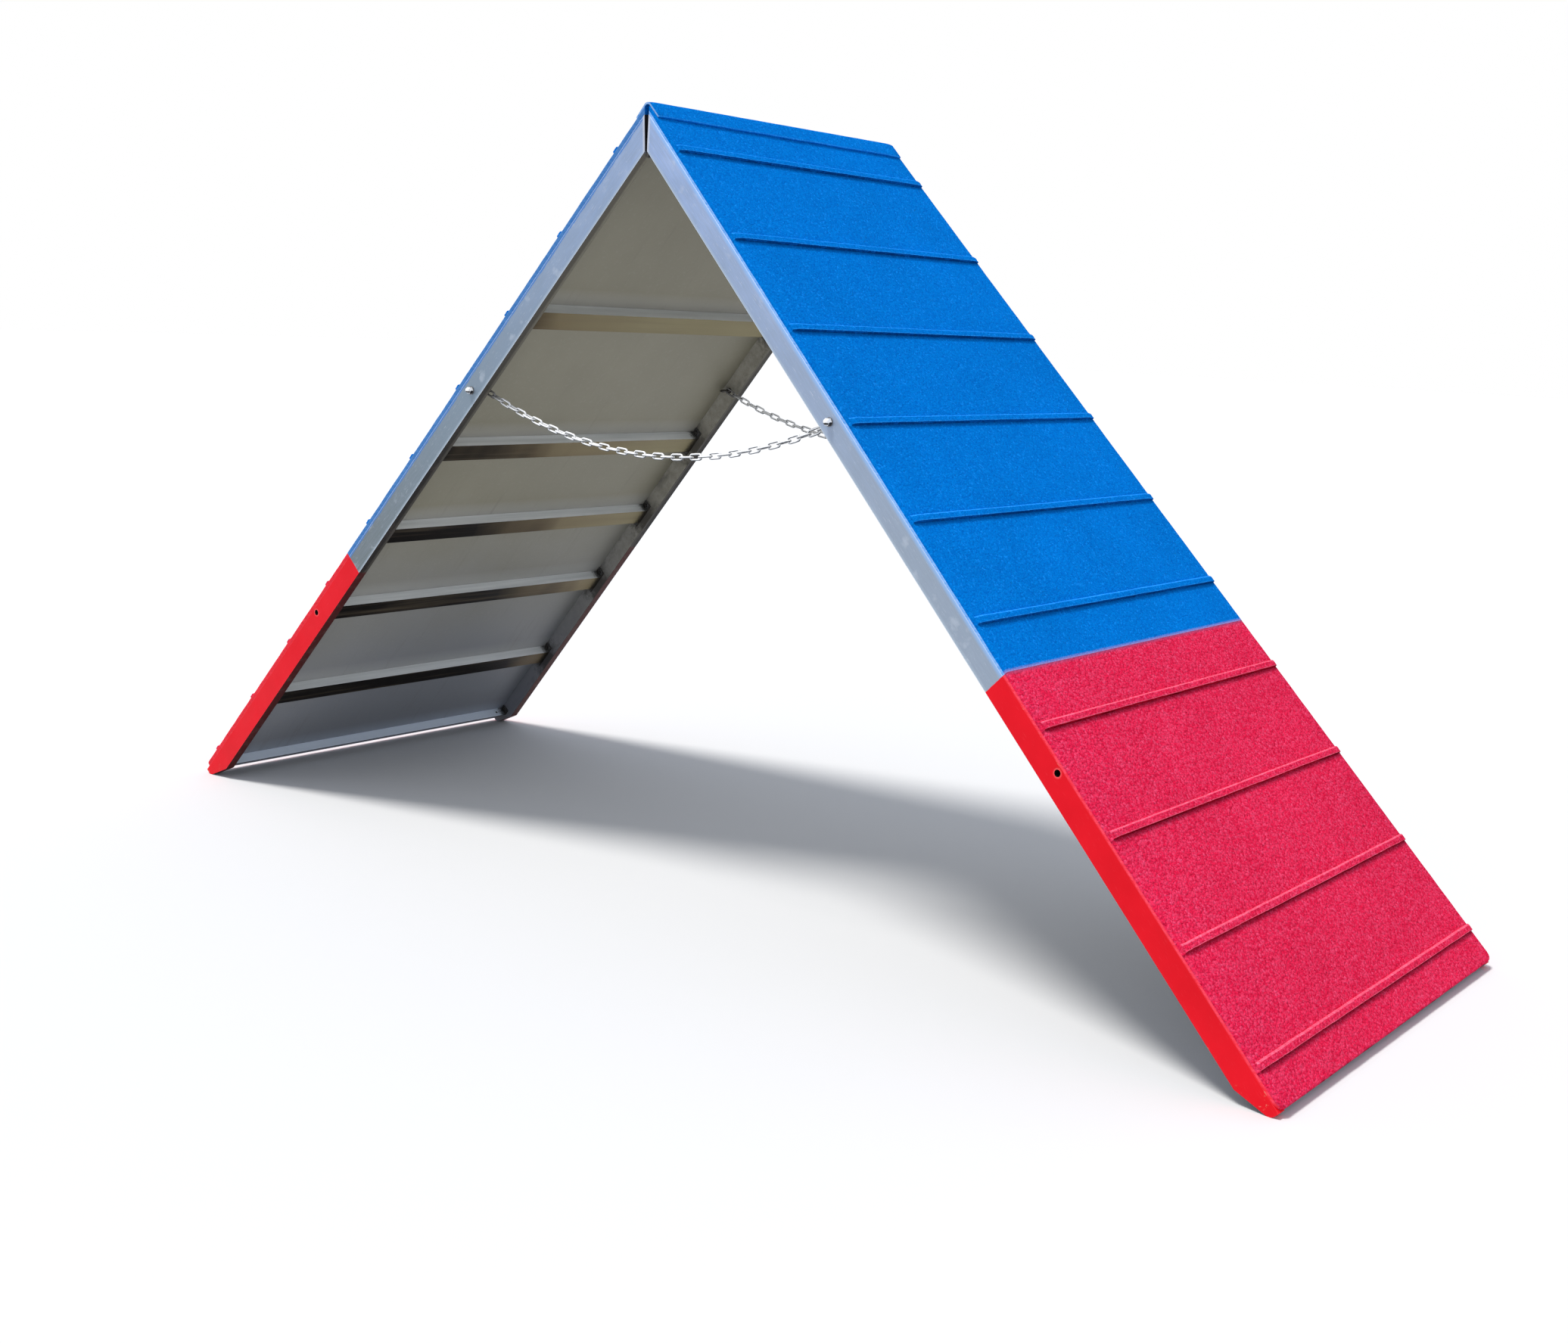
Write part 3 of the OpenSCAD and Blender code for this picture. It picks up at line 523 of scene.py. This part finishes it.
def panel_material(name):
    """The sheet under the rubber: warm grey, cooler towards the foot as a painted reflection, paler above the
    crossmembers as painted light, and paler and bluer above the foot angle.
    """
    pale_reach = 0.060
    m, tree, shader = material(name, 0.48, specular=0.35)
    at = place(tree)
    slope = slope_place(tree)
    tone = clouds(tree, at, 1.6, 5.0, 0.6)
    speckle = clouds(tree, at, 90.0, 4.0, 0.7)
    drag = clouds(tree, stretch(tree, at, (3.0, 45.0, 3.0)), 1.0, 4.0, 0.6)
    color = ramp_colors(tree, tone, [(0.28, (0.208, 0.195, 0.142)), (0.72, (0.280, 0.265, 0.202))])
    # Painted reflection: cooler towards the foot
    color = tint(tree, color, jitter(tree, slope, tone, 0.15), 1.35, 2.35, 1.0, (0.246, 0.257, 0.280))
    # Painted light: paler just above each crossmember
    for middle in MEMBERS:
        far = math_node(tree, "ABSOLUTE", math_node(tree, "SUBTRACT", slope, middle - MEMBER_W / 2))
        color = tint(tree, color, far, pale_reach, 0.0, 0.55, (0.43, 0.43, 0.42))
    # Paler and bluer just above the foot angle
    color = tint(tree, color, slope, ANGLE_X - pale_reach, ANGLE_X, 0.6, (0.40, 0.44, 0.52))
    color = tint(tree, color, speckle, 0.55, 0.72, 0.22, (0.34, 0.325, 0.28))
    color = tint(tree, color, drag, 0.60, 0.75, 0.25, (0.15, 0.14, 0.115))
    tree.links.new(color, shader.inputs["Base Color"])
    tree.links.new(ramp_value(tree, tone, 0.3, 0.7, 0.42, 0.56), shader.inputs["Roughness"])
    bump(tree, shader, speckle, 0.12, 0.0003)
    return m


def metal_material(name, dark, bright, roughness, scale, metallic):
    """Plated or plain steel hardware, blotched, with dull spots."""
    m, tree, shader = material(name, roughness, metallic)
    at = place(tree)
    tone = clouds(tree, at, scale, 4.0, 0.6)
    spots = clouds(tree, at, scale * 4, 5.0, 0.7)
    color = ramp_colors(tree, tone, [(0.3, dark), (0.7, bright)])
    color = tint(tree, color, spots, 0.60, 0.72, 0.4, scaled(dark, 0.6))
    tree.links.new(color, shader.inputs["Base Color"])
    spotted = ramp_value(tree, spots, 0.3, 0.7, roughness - 0.06, roughness + 0.14)
    tree.links.new(spotted, shader.inputs["Roughness"])
    bump(tree, shader, spots, 0.15, 0.0003, soft_edges(tree, 0.0005))
    return m


def bush_material(name):
    """The transport bushes: red paint on the rim outside the rail, and painted shade, near black, within."""
    m, tree, shader = material(name, 0.5, specular=0.2)
    tone = clouds(tree, place(tree), 120.0, 4.0, 0.6)
    # Painted shade in the bore: near black
    dark = ramp_colors(tree, tone, [(0.3, (0.006, 0.006, 0.006)), (0.7, (0.018, 0.017, 0.016))])
    red = ramp_colors(tree, tone, [(0.3, (0.86, 0.02, 0.03)), (0.7, (1.0, 0.09, 0.10))])
    tree.links.new(mix(tree, outward(tree), dark, red), shader.inputs["Base Color"])
    bump(tree, shader, tone, 0.15, 0.0003, soft_edges(tree, 0.0005))
    return m


def plating_painted_light(name, bands, roughness, scale, metallic, shaded_left_of=None):
    """Bright plated metal with a painted highlight where it looks up, and painted shade and a painted
    reflection of the frame where it looks down. Bands run from down to up.

    It has painted shade to the left of a place, where one is given.
    """
    m, tree, shader = material(name, roughness, metallic)
    at = place(tree)
    tone = clouds(tree, at, scale, 4.0, 0.6)
    turned = jitter(tree, part_of(tree, normal_of(tree), "Z"), tone, 0.12)
    # Painted light and shade: the colour follows how far a face looks up
    color = ramp_colors(tree, ramp_value(tree, turned, -1.0, 1.0), bands)
    if shaded_left_of is not None:
        # Painted shade on the links at the left end
        across = part_of(tree, at, "X")
        color = tint(tree, color, across, shaded_left_of, shaded_left_of - 0.04, 0.85, (0.07, 0.068, 0.065))
    tree.links.new(color, shader.inputs["Base Color"])
    bump(tree, shader, tone, 0.10, 0.0003, soft_edges(tree, 0.0005))
    return m


BLUE_GRAIN, RED_GRAIN = 230.0, 170.0
BLUE_SEAM = (-0.008, (0.38, 0.27, 0.54))
RED_SEAM = (0.010, (0.33, 0.075, 0.19))
blue_rubber = granules("blue_granules", (0.000, 0.134, 0.575), (0.000, 0.192, 0.695), (0.001, 0.248, 0.79),
                       BLUE_GRAIN, 0.18, 0.55, BLUE_SEAM)
# Paler rubber on the bends of slats and flap: a painted highlight
blue_painted_highlight = granules("blue_bend_painted_highlight", (0.004, 0.215, 0.78), (0.012, 0.285, 0.92), (0.035, 0.37, 1.0),
                     BLUE_GRAIN, 0.14, 0.45, BLUE_SEAM)
# Painted shade for the downhill faces of the slats
blue_painted_shade = granules("blue_slat_shade_painted", (0.000, 0.060, 0.27), (0.000, 0.095, 0.38), (0.001, 0.130, 0.48),
                     BLUE_GRAIN, 0.25, 0.40, BLUE_SEAM)
red_rubber = granules("red_granules", (0.77, 0.007, 0.050), (0.97, 0.018, 0.087), (1.0, 0.082, 0.195),
                      RED_GRAIN, 0.30, 1.0, RED_SEAM)
# Paler rubber on the bends of the slats: a painted highlight
red_painted_highlight = granules("red_bend_painted_highlight", (1.0, 0.062, 0.140), (1.0, 0.115, 0.215), (1.0, 0.20, 0.32),
                    RED_GRAIN, 0.20, 0.80, RED_SEAM)
# Painted shade for the downhill faces of the slats
red_painted_shade = granules("red_slat_shade_painted", (0.32, 0.001, 0.016), (0.42, 0.002, 0.020), (0.52, 0.004, 0.030),
                    RED_GRAIN, 0.40, 0.50, RED_SEAM)
# On the left the blue side is darker
# On the right the pale blue side finish is a painted highlight along the top edge of the rail
blue_sides = {"left": cut_rubber("blue_darker_left_side", (0.034, 0.155, 0.42), (0.075, 0.225, 0.52)),
              "right": cut_rubber("blue_side_painted_highlight", (0.12, 0.37, 0.80), (0.32, 0.55, 0.95))}
red_sides = {"left": cut_rubber("red_dull_side", (0.66, 0.012, 0.024), (0.84, 0.028, 0.050)),
             "right": cut_rubber("red_painted_side", (0.90, 0.020, 0.045), (1.0, 0.075, 0.13))}
# The flap's end caps: paler, partly worn rubber and partly a painted highlight
worn_end_highlight = cut_rubber("blue_worn_end_painted_highlight", (0.14, 0.32, 0.64), (0.30, 0.48, 0.78))
zinc = metal_material("zinc_plate", (0.70, 0.72, 0.75), (0.92, 0.94, 0.97), 0.30, 70.0, 0.55)
washer_steel = metal_material("washer_steel", (0.10, 0.10, 0.105), (0.24, 0.24, 0.25), 0.40, 90.0, 0.7)
dark_steel = metal_material("dark_steel", (0.030, 0.028, 0.026), (0.10, 0.095, 0.09), 0.42, 60.0, 0.8)
bush_paint = bush_material("bush_paint")
chain_painted_light = plating_painted_light("chain_painted_light",
                        [(0.27, (0.09, 0.095, 0.105)), (0.44, (0.86, 0.90, 0.94)), (0.54, (1.0, 1.0, 1.0))],
                        0.26, 110.0, 0.12, -0.540)
nut_painted_light = plating_painted_light("nut_painted_light",
                      [(0.08, (0.42, 0.46, 0.54)), (0.20, (0.020, 0.021, 0.024)),
                       (0.36, (0.020, 0.021, 0.024)), (0.45, (1.0, 1.0, 1.0))],
                      0.22, 70.0, 0.12)


def dress(name, finish):
    """Gives a solid of the CAD model its finish."""
    nodes[name].data.materials.clear()
    nodes[name].data.materials.append(finish)


for side_name, side in SIDES.items():
    rails = rail_material(side_name + "_rail_finish", side)
    profiles = profile_material(side_name + "_profile_finish", side)
    panel = panel_material(side_name + "_panel_sheet")
    finish_of = {"near_rail": rails, "far_rail": rails, "deck_panel": panel, "foot_angle": profiles,
                 "ridge_plate": ridge_material(side_name + "_ridge_finish", side),
                 "frame_screws": dark_steel, "frame_washers": washer_steel, "eye_bolts": dark_steel,
                 "dome_nuts": nut_painted_light, "nut_washers": washer_steel, "transport_bushes": bush_paint,
                 "near_hinge_leaf": dark_steel, "far_hinge_leaf": dark_steel, "hinge_screws": zinc}
    finish_of.update({"crossmember_%d" % i: profiles for i in range(1, len(MEMBERS) + 1)})
    for name, finish in finish_of.items():
        dress(side_name + "_" + name, finish)
dress("near_hinge_pin", dark_steel)
dress("far_hinge_pin", dark_steel)


# Pieces

def piece(name, verts, faces, finishes, replaced, finish_at=None):
    """A mesh object. A rule picks each face's finish, from the face's middle and the way it looks."""
    mesh = bpy.data.meshes.new(name)
    mesh.from_pydata([tuple(v) for v in verts], [], faces)
    for finish in finishes:
        mesh.materials.append(finish)
    mesh.validate()
    mesh.update()
    if finish_at:
        for face in mesh.polygons:
            face.material_index = finish_at(face.center, face.normal)
    obj = bpy.data.objects.new(name, mesh)
    bpy.context.scene.collection.objects.link(obj)
    mesh.shade_smooth()
    mesh.set_sharp_from_angle(angle=SMOOTH_ANGLE)
    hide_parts(replaced)
    return obj


def loft(rings, side):
    """Faces over rings of points, each ring a closed loop, with an end cap on the first and the last.

    The side says which way round the rings run, so that the faces look outwards.
    """
    verts = [p for ring in rings for p in ring]
    n = len(rings[0])
    faces = []
    for k in range(len(rings) - 1):
        for i in range(n):
            j = (i + 1) % n
            quad = [k * n + i, k * n + j, (k + 1) * n + j, (k + 1) * n + i]
            faces.append(quad[::-1] if side > 0 else quad)
    first = list(range(n))
    last = [(len(rings) - 1) * n + i for i in range(n)]
    faces.append(first if side > 0 else first[::-1])
    faces.append(last[::-1] if side > 0 else last)
    return verts, faces


def square_to(side):
    """The way that a ramp's running surface looks."""
    return Vector((side * COS, 0.0, SIN))


def down_slope(side):
    return Vector((side * SIN, 0.0, -COS))


def rough(a, b, seed, scale):
    """A smooth random value from -1 to 1 at a place."""
    return noise.noise(Vector((a * scale, b * scale, seed * SEED_STEP)))


def waves(a, b, seed, parts, base=0.0):
    """A base with waves added to it. Each part of the waves has a seed of its own, one up from the last."""
    return sum((reach * rough(a, b, seed + k, scale) for k, (reach, scale) in enumerate(parts)), base)


def quarter_turn(steps):
    return [math.pi / 2 * k / steps for k in range(steps + 1)]


def sheet_half(x):
    """Half of the rubber's width, less at the rounded corners of the foot."""
    corner_x = RAMP_LEN - CORNER_R
    if x <= corner_x:
        return half_w(x)
    corner_y = half_w(corner_x) - CORNER_R / math.cos(SPLAY)
    return corner_y + math.sqrt(max(CORNER_R ** 2 - (x - corner_x) ** 2, 0.0))


def sheet_section():
    """Places round a sheet: the edge they are at (0 for the top), how far in or across, and how high."""
    edge = [(0.0, RAIL_HI + GLUE_LINE), (0.0, RAIL_HI + SIDE_TRIM)]
    edge += [(EDGE_R * (1 - math.cos(a)), RUBBER_HI - EDGE_R + EDGE_R * math.sin(a))
             for a in quarter_turn(EDGE_STEPS)]
    section = [(-1, inset, z) for inset, z in edge]
    section += [(0, k / SHEET_COLS, RUBBER_HI) for k in range(1, SHEET_COLS)]
    section += [(1, inset, z) for inset, z in edge[::-1]]
    return section


def rubber_sheet(name, side, start, stations, finishes, seed):
    """A stretch of the running surface: rounded along its edges, cut a little unevenly, dimpled on top.

    Each station is a distance down the slope; the first ones lean with the start line.
    """
    first, last = start(RUBBER_HI), stations[-1]
    section = sheet_section()
    rings = []
    for x_top in stations:
        t = (x_top - first) / (last - first)
        wave = {edge: waves(x_top, edge, seed, EDGE_WAVES) for edge in (-1, 1)}
        left_over = min(RAMP_LEN - x_top, FOOT_R)
        drop = FOOT_R - math.sqrt(FOOT_R ** 2 - (FOOT_R - left_over) ** 2)
        half = sheet_half(x_top)
        at_foot = max(x_top - RAMP_LEN + CORNER_R, 0.0) / CORNER_R
        ring = []
        for edge, inset, z in section:
            x = start(z) + (last - start(z)) * t
            if edge == 0:
                y = (half - EDGE_R) * (2 * inset - 1)
                z = waves(x, y, seed + DIMPLE_SEED, DIMPLES, z)
            else:
                y = edge * (half - inset + wave[edge] - EDGE_INSET)
            ragged = sum(reach * (1 + rough(y, 0.0, seed + FOOT_SEED + k, scale))
                         for k, (reach, scale) in enumerate(FOOT_WAVES))
            x -= at_foot ** 2 * ragged
            z -= drop * (z - RAIL_HI) / (RUBBER_HI - RAIL_HI)
            ring.append(ramp(side, x, y, z))
        rings.append(ring)
    verts, faces = loft(rings, side)
    # On the right only the lower part of the side takes the side finish, on the blue sheet a painted
    # highlight
    trim = RUBBER_HI if side < 0 else RAIL_HI + SIDE_TRIM

    def finish_at(middle, way):
        out = middle.dot(square_to(side)) - PIN_Z * SIN
        return EDGE if abs(way.y) > SIDE_FACE and out < trim else FACE

    return piece(name, verts, faces, finishes, name.replace("_sheet", "_surface"), finish_at)


def slat_ring(i, y, share, seed):
    """The outline of one slat at a place across it: well rounded uphill, with a tighter edge downhill."""
    bend = quarter_turn(SLAT_BEND_STEPS)
    half = 0.5 * SLAT_W * (SLAT_END_W + (1 - SLAT_END_W) * share)
    height = SLAT_H * share * waves(i, y, seed, SLAT_HEIGHT_WAVES, 1)
    up = waves(y, i, seed + UPHILL_SEED, UPHILL_WAVES, -half)
    down = waves(y, i, seed + DOWNHILL_SEED, DOWNHILL_WAVES, half)
    deep, r = height * UPHILL_ROUND_H, height * DOWNHILL_ROUND
    ring = [(up - SLAT_SUNK, -SLAT_SUNK), (up, height * UPHILL_WALL)]
    ring += [(up + UPHILL_ROUND_W * (1 - math.cos(a)) + SLAT_DRAFT, height - deep * (1 - math.sin(a)))
             for a in bend]
    ring += [(up + CROWN_AT * (down - up), height - SLAT_CROWN)]
    ring += [(down - r * (1 - math.cos(a)) - SLAT_DRAFT, height - r + r * math.sin(a)) for a in bend[::-1]]
    ring += [(down, height * DOWNHILL_WALL), (down + SLAT_SUNK, -SLAT_SUNK)]
    return ring


def slat_set(name, side, red, finishes, seed):
    """The slats of one colour, with slightly wandering edges, moulded down onto the sheet at their ends."""
    verts, faces = [], []
    for i in range(SLAT_N):
        low_edge = FIRST_SLAT + i * SLAT_PITCH
        if (low_edge > CONTACT_X) != red:
            continue
        reach = half_w(low_edge - SLAT_W) - SLAT_INSET
        rings = []
        for k in range(SLAT_STEPS + 1):
            y = -reach + 2 * reach * k / SLAT_STEPS
            share = SLAT_ENDS[min(k, SLAT_STEPS - k, len(SLAT_ENDS) - 1)]
            middle_x = waves(y, i, seed + LINE_SEED, SLAT_LINE_WAVES, low_edge - SLAT_W / 2)
            outline = slat_ring(i, y, share, seed)
            rings.append([ramp(side, middle_x + px, y, RUBBER_HI + pz) for px, pz in outline])
        slat_verts, slat_faces = loft(rings, -side)
        faces += [[n + len(verts) for n in face] for face in slat_faces]
        verts += slat_verts

    def finish_at(middle, way):
        down = way.dot(down_slope(side))
        # Faces that look well downhill take painted shade
        if down > PAINTED_SHADE_FROM:
            return PAINTED_SHADE
        # Bends that look partly downhill or uphill take a painted highlight
        return EDGE if down > HIGHLIGHT_DOWNHILL or down < HIGHLIGHT_UPHILL else FACE

    return piece(name, verts, faces, finishes, name.replace("_slat_set", "_slats"), finish_at)


def flap():
    """The flap over the ridge: a bent rubber strip, fixed on the left and lying loose on the right."""
    right = (Vector((SIN, -COS)), Vector((COS, SIN)))
    left = (Vector((-SIN, -COS)), Vector((-COS, SIN)))
    peak = Vector(((FLAP_CLEAR - FLAP_GLUE) / 2 / COS, RIDGE_Z + (FLAP_CLEAR + FLAP_GLUE) / 2 / SIN))
    centre = peak - Vector((0.0, FLAP_R / SIN))
    reach = half_w(-RUBBER_HI / TAN) - FLAP_INSET
    arc = [STAND + (math.pi - 2 * STAND) * j / FLAP_BEND_STEPS for j in range(FLAP_BEND_STEPS + 1)]
    rings = []
    for k in range(FLAP_STEPS + 1):
        y = -reach + 2 * reach * k / FLAP_STEPS
        thin = FLAP_ENDS[min(k, FLAP_STEPS - k, len(FLAP_ENDS) - 1)]
        thick = FLAP_T * thin * waves(y, 1.0, THICK_SEED, FLAP_THICK_WAVES, 1)
        ring = []
        for (u, n), mark in ((right, 0), (left, 1)):
            leg = waves(y, mark, LEG_SEED, FLAP_LEG_WAVES, FLAP_LEG)
            face = waves(y, mark + 7.0, FACE_SEED, FLAP_FACE_WAVES, thick)
            tip = peak + u * leg
            rounded = [tip + n * FLAP_TIP_LIFT]
            rounded += [tip + u * along + n * thick * share for along, share in FLAP_TIP]
            rounded += [peak + u * leg * FLAP_FACE_AT + n * face]
            ring += rounded if mark == 0 else rounded[::-1]
            radius, angles = (FLAP_R + thick, arc) if mark == 0 else (FLAP_R, arc[::-1])
            ring += [centre + Vector((math.cos(a), math.sin(a))) * radius for a in angles]
        rings.append([Vector((p.x, y, p.y)) for p in ring])
    verts, faces = loft(rings, 1)
    flat_ways = [square_to(-1), Vector((0.0, 0.0, 1.0)), square_to(1)]

    def finish_at(middle, way):
        # End caps take the worn finish with its painted highlight
        if abs(way.y) > SIDE_FACE:
            return END
        turned = max(abs(way.dot(flat)) for flat in flat_ways)
        # Bends take a painted highlight
        return EDGE if FLAP_HIGHLIGHT[0] < turned < FLAP_HIGHLIGHT[1] else FACE

    finishes = (blue_rubber, blue_painted_highlight, worn_end_highlight)
    return piece("ridge_flap_strip", verts, faces, finishes, "ridge_flap", finish_at)


def sheets():
    """The running surface of both ramps, with its slats."""
    blue_start = face_x(RIDGE_FACE, RUBBER_HI)
    blue_stations = [blue_start + (CONTACT_X - blue_start) * k / BLUE_STEPS for k in range(BLUE_STEPS + 1)]
    corner_x = RAMP_LEN - CORNER_R
    red_stations = [CONTACT_X + (corner_x - CONTACT_X) * k / RED_STEPS for k in range(RED_STEPS + 1)]
    red_stations += [corner_x + CORNER_R * math.sin(a) for a in quarter_turn(CORNER_STEPS)[1:]]
    blue_slats = (blue_rubber, blue_painted_highlight, blue_painted_shade)
    red_slats = (red_rubber, red_painted_highlight, red_painted_shade)
    for side_name, side in SIDES.items():
        seed = SHEET_SEEDS[side_name]
        blue_sheet = (blue_rubber, blue_sides[side_name])
        red_sheet = (red_rubber, red_sides[side_name])
        made = (rubber_sheet(side_name + "_blue_sheet", side, lambda z: face_x(RIDGE_FACE, z),
                             blue_stations, blue_sheet, seed),
                rubber_sheet(side_name + "_red_sheet", side, lambda z: CONTACT_X,
                             red_stations, red_sheet, seed + RED_SEED),
                slat_set(side_name + "_blue_slat_set", side, False, blue_slats,
                         seed + BLUE_SLAT_SEED),
                slat_set(side_name + "_red_slat_set", side, True, red_slats,
                         seed + RED_SLAT_SEED))
        for obj in made:
            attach(obj, side_name + "_ramp")


def chain_line():
    """Each link's number, middle and tilt. The links hang in the same catenary as the solids."""
    slope_x = CHAIN_AT + EYE_OUT * math.sin(SPLAY)
    eye_x = slope_x * SIN + RAIL_MID * COS
    eye_z = PIN_Z - slope_x * COS + RAIL_MID * SIN
    eye_y = half_w(CHAIN_AT) - EYE_OUT * math.cos(SPLAY)
    step = LINK_PITCH - PLAY
    half = LINKS_A_SIDE * step + LINK_PITCH / 2 + LINK_D / 2
    hook = EYE_WIRE + LINK_D / 2 + PLAY

    def solve(span):
        """The catenary's size for half of its span, found by halving."""
        lo, hi = CATENARY_MIN, CATENARY_MAX
        for _ in range(HALVINGS):
            mid = (lo + hi) / 2
            lo, hi = (lo, mid) if mid * math.asinh(half / mid) > span else (mid, hi)
        return (lo + hi) / 2

    angle = math.atan(half / solve(eye_x - EYE_R + hook))
    a = solve(eye_x - EYE_R + hook * math.cos(angle))
    top = eye_z + hook * math.sin(angle)
    for i in range(-LINKS_A_SIDE, LINKS_A_SIDE + 1):
        s = i * step
        x = a * math.asinh(s / a)
        z = top + math.hypot(a, s) - math.hypot(a, half)
        yield i, Vector((x, eye_y, z)), math.atan(s / a)


def link_line():
    """Places round the middle of a link's wire, the link lying along x and upright, each with its swell.

    The upper side has five places, with the weld at the middle one, and the lower side has three.
    """
    r, straight = (LINK_B + LINK_D) / 2, LINK_PITCH - LINK_B
    bend = [math.pi * k / LINK_BEND_STEPS for k in range(1, LINK_BEND_STEPS)]
    line = []
    for k in range(5):
        line.append((Vector((-straight / 2 + straight * k / 4, 0.0, r)), WELD_SWELL if k == 2 else 1.0))
    for turned in bend:
        a = math.pi / 2 - turned
        line.append((Vector((straight / 2 + r * math.cos(a), 0.0, r * math.sin(a))), 1.0))
    for k in range(3):
        line.append((Vector((straight / 2 - straight * k / 2, 0.0, -r)), 1.0))
    for turned in bend:
        a = -math.pi / 2 - turned
        line.append((Vector((-straight / 2 + r * math.cos(a), 0.0, r * math.sin(a))), 1.0))
    return line


def chain(name, edge, replaced):
    """A chain of welded links, every other one turned on its side, held by both ramps."""
    line = link_line()
    n = len(line)
    across = Vector((0.0, 1.0, 0.0))
    verts, faces = [], []
    for i, at, tilt in chain_line():
        turn = 0.0 if (LINKS_A_SIDE - abs(i)) % 2 == 0 else math.pi / 2
        pose = (Matrix.Translation(Vector((at.x, edge * at.y, at.z))) @ Matrix.Rotation(-tilt, 4, "Y")
                @ Matrix.Rotation(turn, 4, "X"))
        base = len(verts)
        for k, (p, swell) in enumerate(line):
            ahead = (line[(k + 1) % n][0] - line[k - 1][0]).normalized()
            up = ahead.cross(across)
            for j in range(LINK_SIDES):
                a = 2 * math.pi * j / LINK_SIDES
                verts.append(pose @ (p + (across * math.cos(a) + up * math.sin(a)) * LINK_D / 2 * swell))
        for k in range(n):
            a, b = base + k * LINK_SIDES, base + (k + 1) % n * LINK_SIDES
            for j in range(LINK_SIDES):
                ahead_j = (j + 1) % LINK_SIDES
                faces.append([a + j, a + ahead_j, b + ahead_j, b + j])
    obj = piece(name, verts, faces, (chain_painted_light,), replaced)
    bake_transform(obj)


sheets()
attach(flap(), "left_ramp")
chain("near_stay_chain", -1, "near_chain")
chain("far_stay_chain", 1, "far_chain")


# Floor, light and camera
FLOOR_HALF, FLOOR_GREY = 60.0, 0.74
SKY_LIGHT, SKY_SEEN = (0.56, 0.60, 0.68), (1.0, 1.0, 1.0)
SUN_POWER, SUN_WIDTH = 2.7, math.radians(14)
SUN_COLOR, SUN_FROM = (1.0, 0.98, 0.95), Vector((-0.22, -0.28, 1.0))
SENSOR_W, LENS, SHIFT_X, SHIFT_Y = 36.0, 39.766, -0.13287, 0.0659
CAMERA_POSE = Matrix(((0.80882, -0.18073, 0.55959, 3.2004),
                      (0.58635, 0.17554, -0.79081, -3.4516),
                      (0.04470, 0.96774, 0.24795, RIDGE_Z - 0.4818),
                      (0.0, 0.0, 0.0, 1.0)))


def floor():
    """A pale floor that takes the shadow."""
    mesh = bpy.data.meshes.new("floor")
    corners = [(-FLOOR_HALF, -FLOOR_HALF, 0), (FLOOR_HALF, -FLOOR_HALF, 0),
               (FLOOR_HALF, FLOOR_HALF, 0), (-FLOOR_HALF, FLOOR_HALF, 0)]
    mesh.from_pydata(corners, [], [[0, 1, 2, 3]])
    obj = bpy.data.objects.new("floor", mesh)
    bpy.context.scene.collection.objects.link(obj)
    m, _, shader = material("floor_white", 0.9, specular=0.0)
    shader.inputs["Base Color"].default_value = (FLOOR_GREY, FLOOR_GREY, FLOOR_GREY, 1.0)
    mesh.materials.append(m)


def sky():
    """A sky that is white to the camera and in mirrors, and lights the frame with a softer blue."""
    world = bpy.data.worlds.new("studio")
    bpy.context.scene.world = world
    world.use_nodes = True
    tree = world.node_tree
    background = tree.nodes["Background"]
    rays = node(tree, "LightPath").outputs
    mirrored = math_node(tree, "MAXIMUM", rays["Is Glossy Ray"], rays["Is Transmission Ray"])
    seen = math_node(tree, "MAXIMUM", rays["Is Camera Ray"], mirrored)
    tree.links.new(mix(tree, seen, SKY_LIGHT, SKY_SEEN), background.inputs["Color"])


def sun():
    light = bpy.data.lights.new("key", "SUN")
    light.energy = SUN_POWER
    light.angle = SUN_WIDTH
    light.color = SUN_COLOR
    obj = bpy.data.objects.new("key", light)
    bpy.context.scene.collection.objects.link(obj)
    obj.rotation_mode = "QUATERNION"
    obj.rotation_quaternion = SUN_FROM.to_track_quat("Z", "Y")


def camera():
    """The photo's camera, for a frame of 2072 by 1775."""
    data = bpy.data.cameras.new("camera")
    data.sensor_width = SENSOR_W
    data.lens = LENS
    data.shift_x = SHIFT_X
    data.shift_y = SHIFT_Y
    obj = bpy.data.objects.new("camera", data)
    bpy.context.scene.collection.objects.link(obj)
    obj.matrix_world = CAMERA_POSE
    bpy.context.scene.camera = obj


floor()
sky()
sun()
camera()
bpy.context.scene.view_settings.view_transform = "Standard"
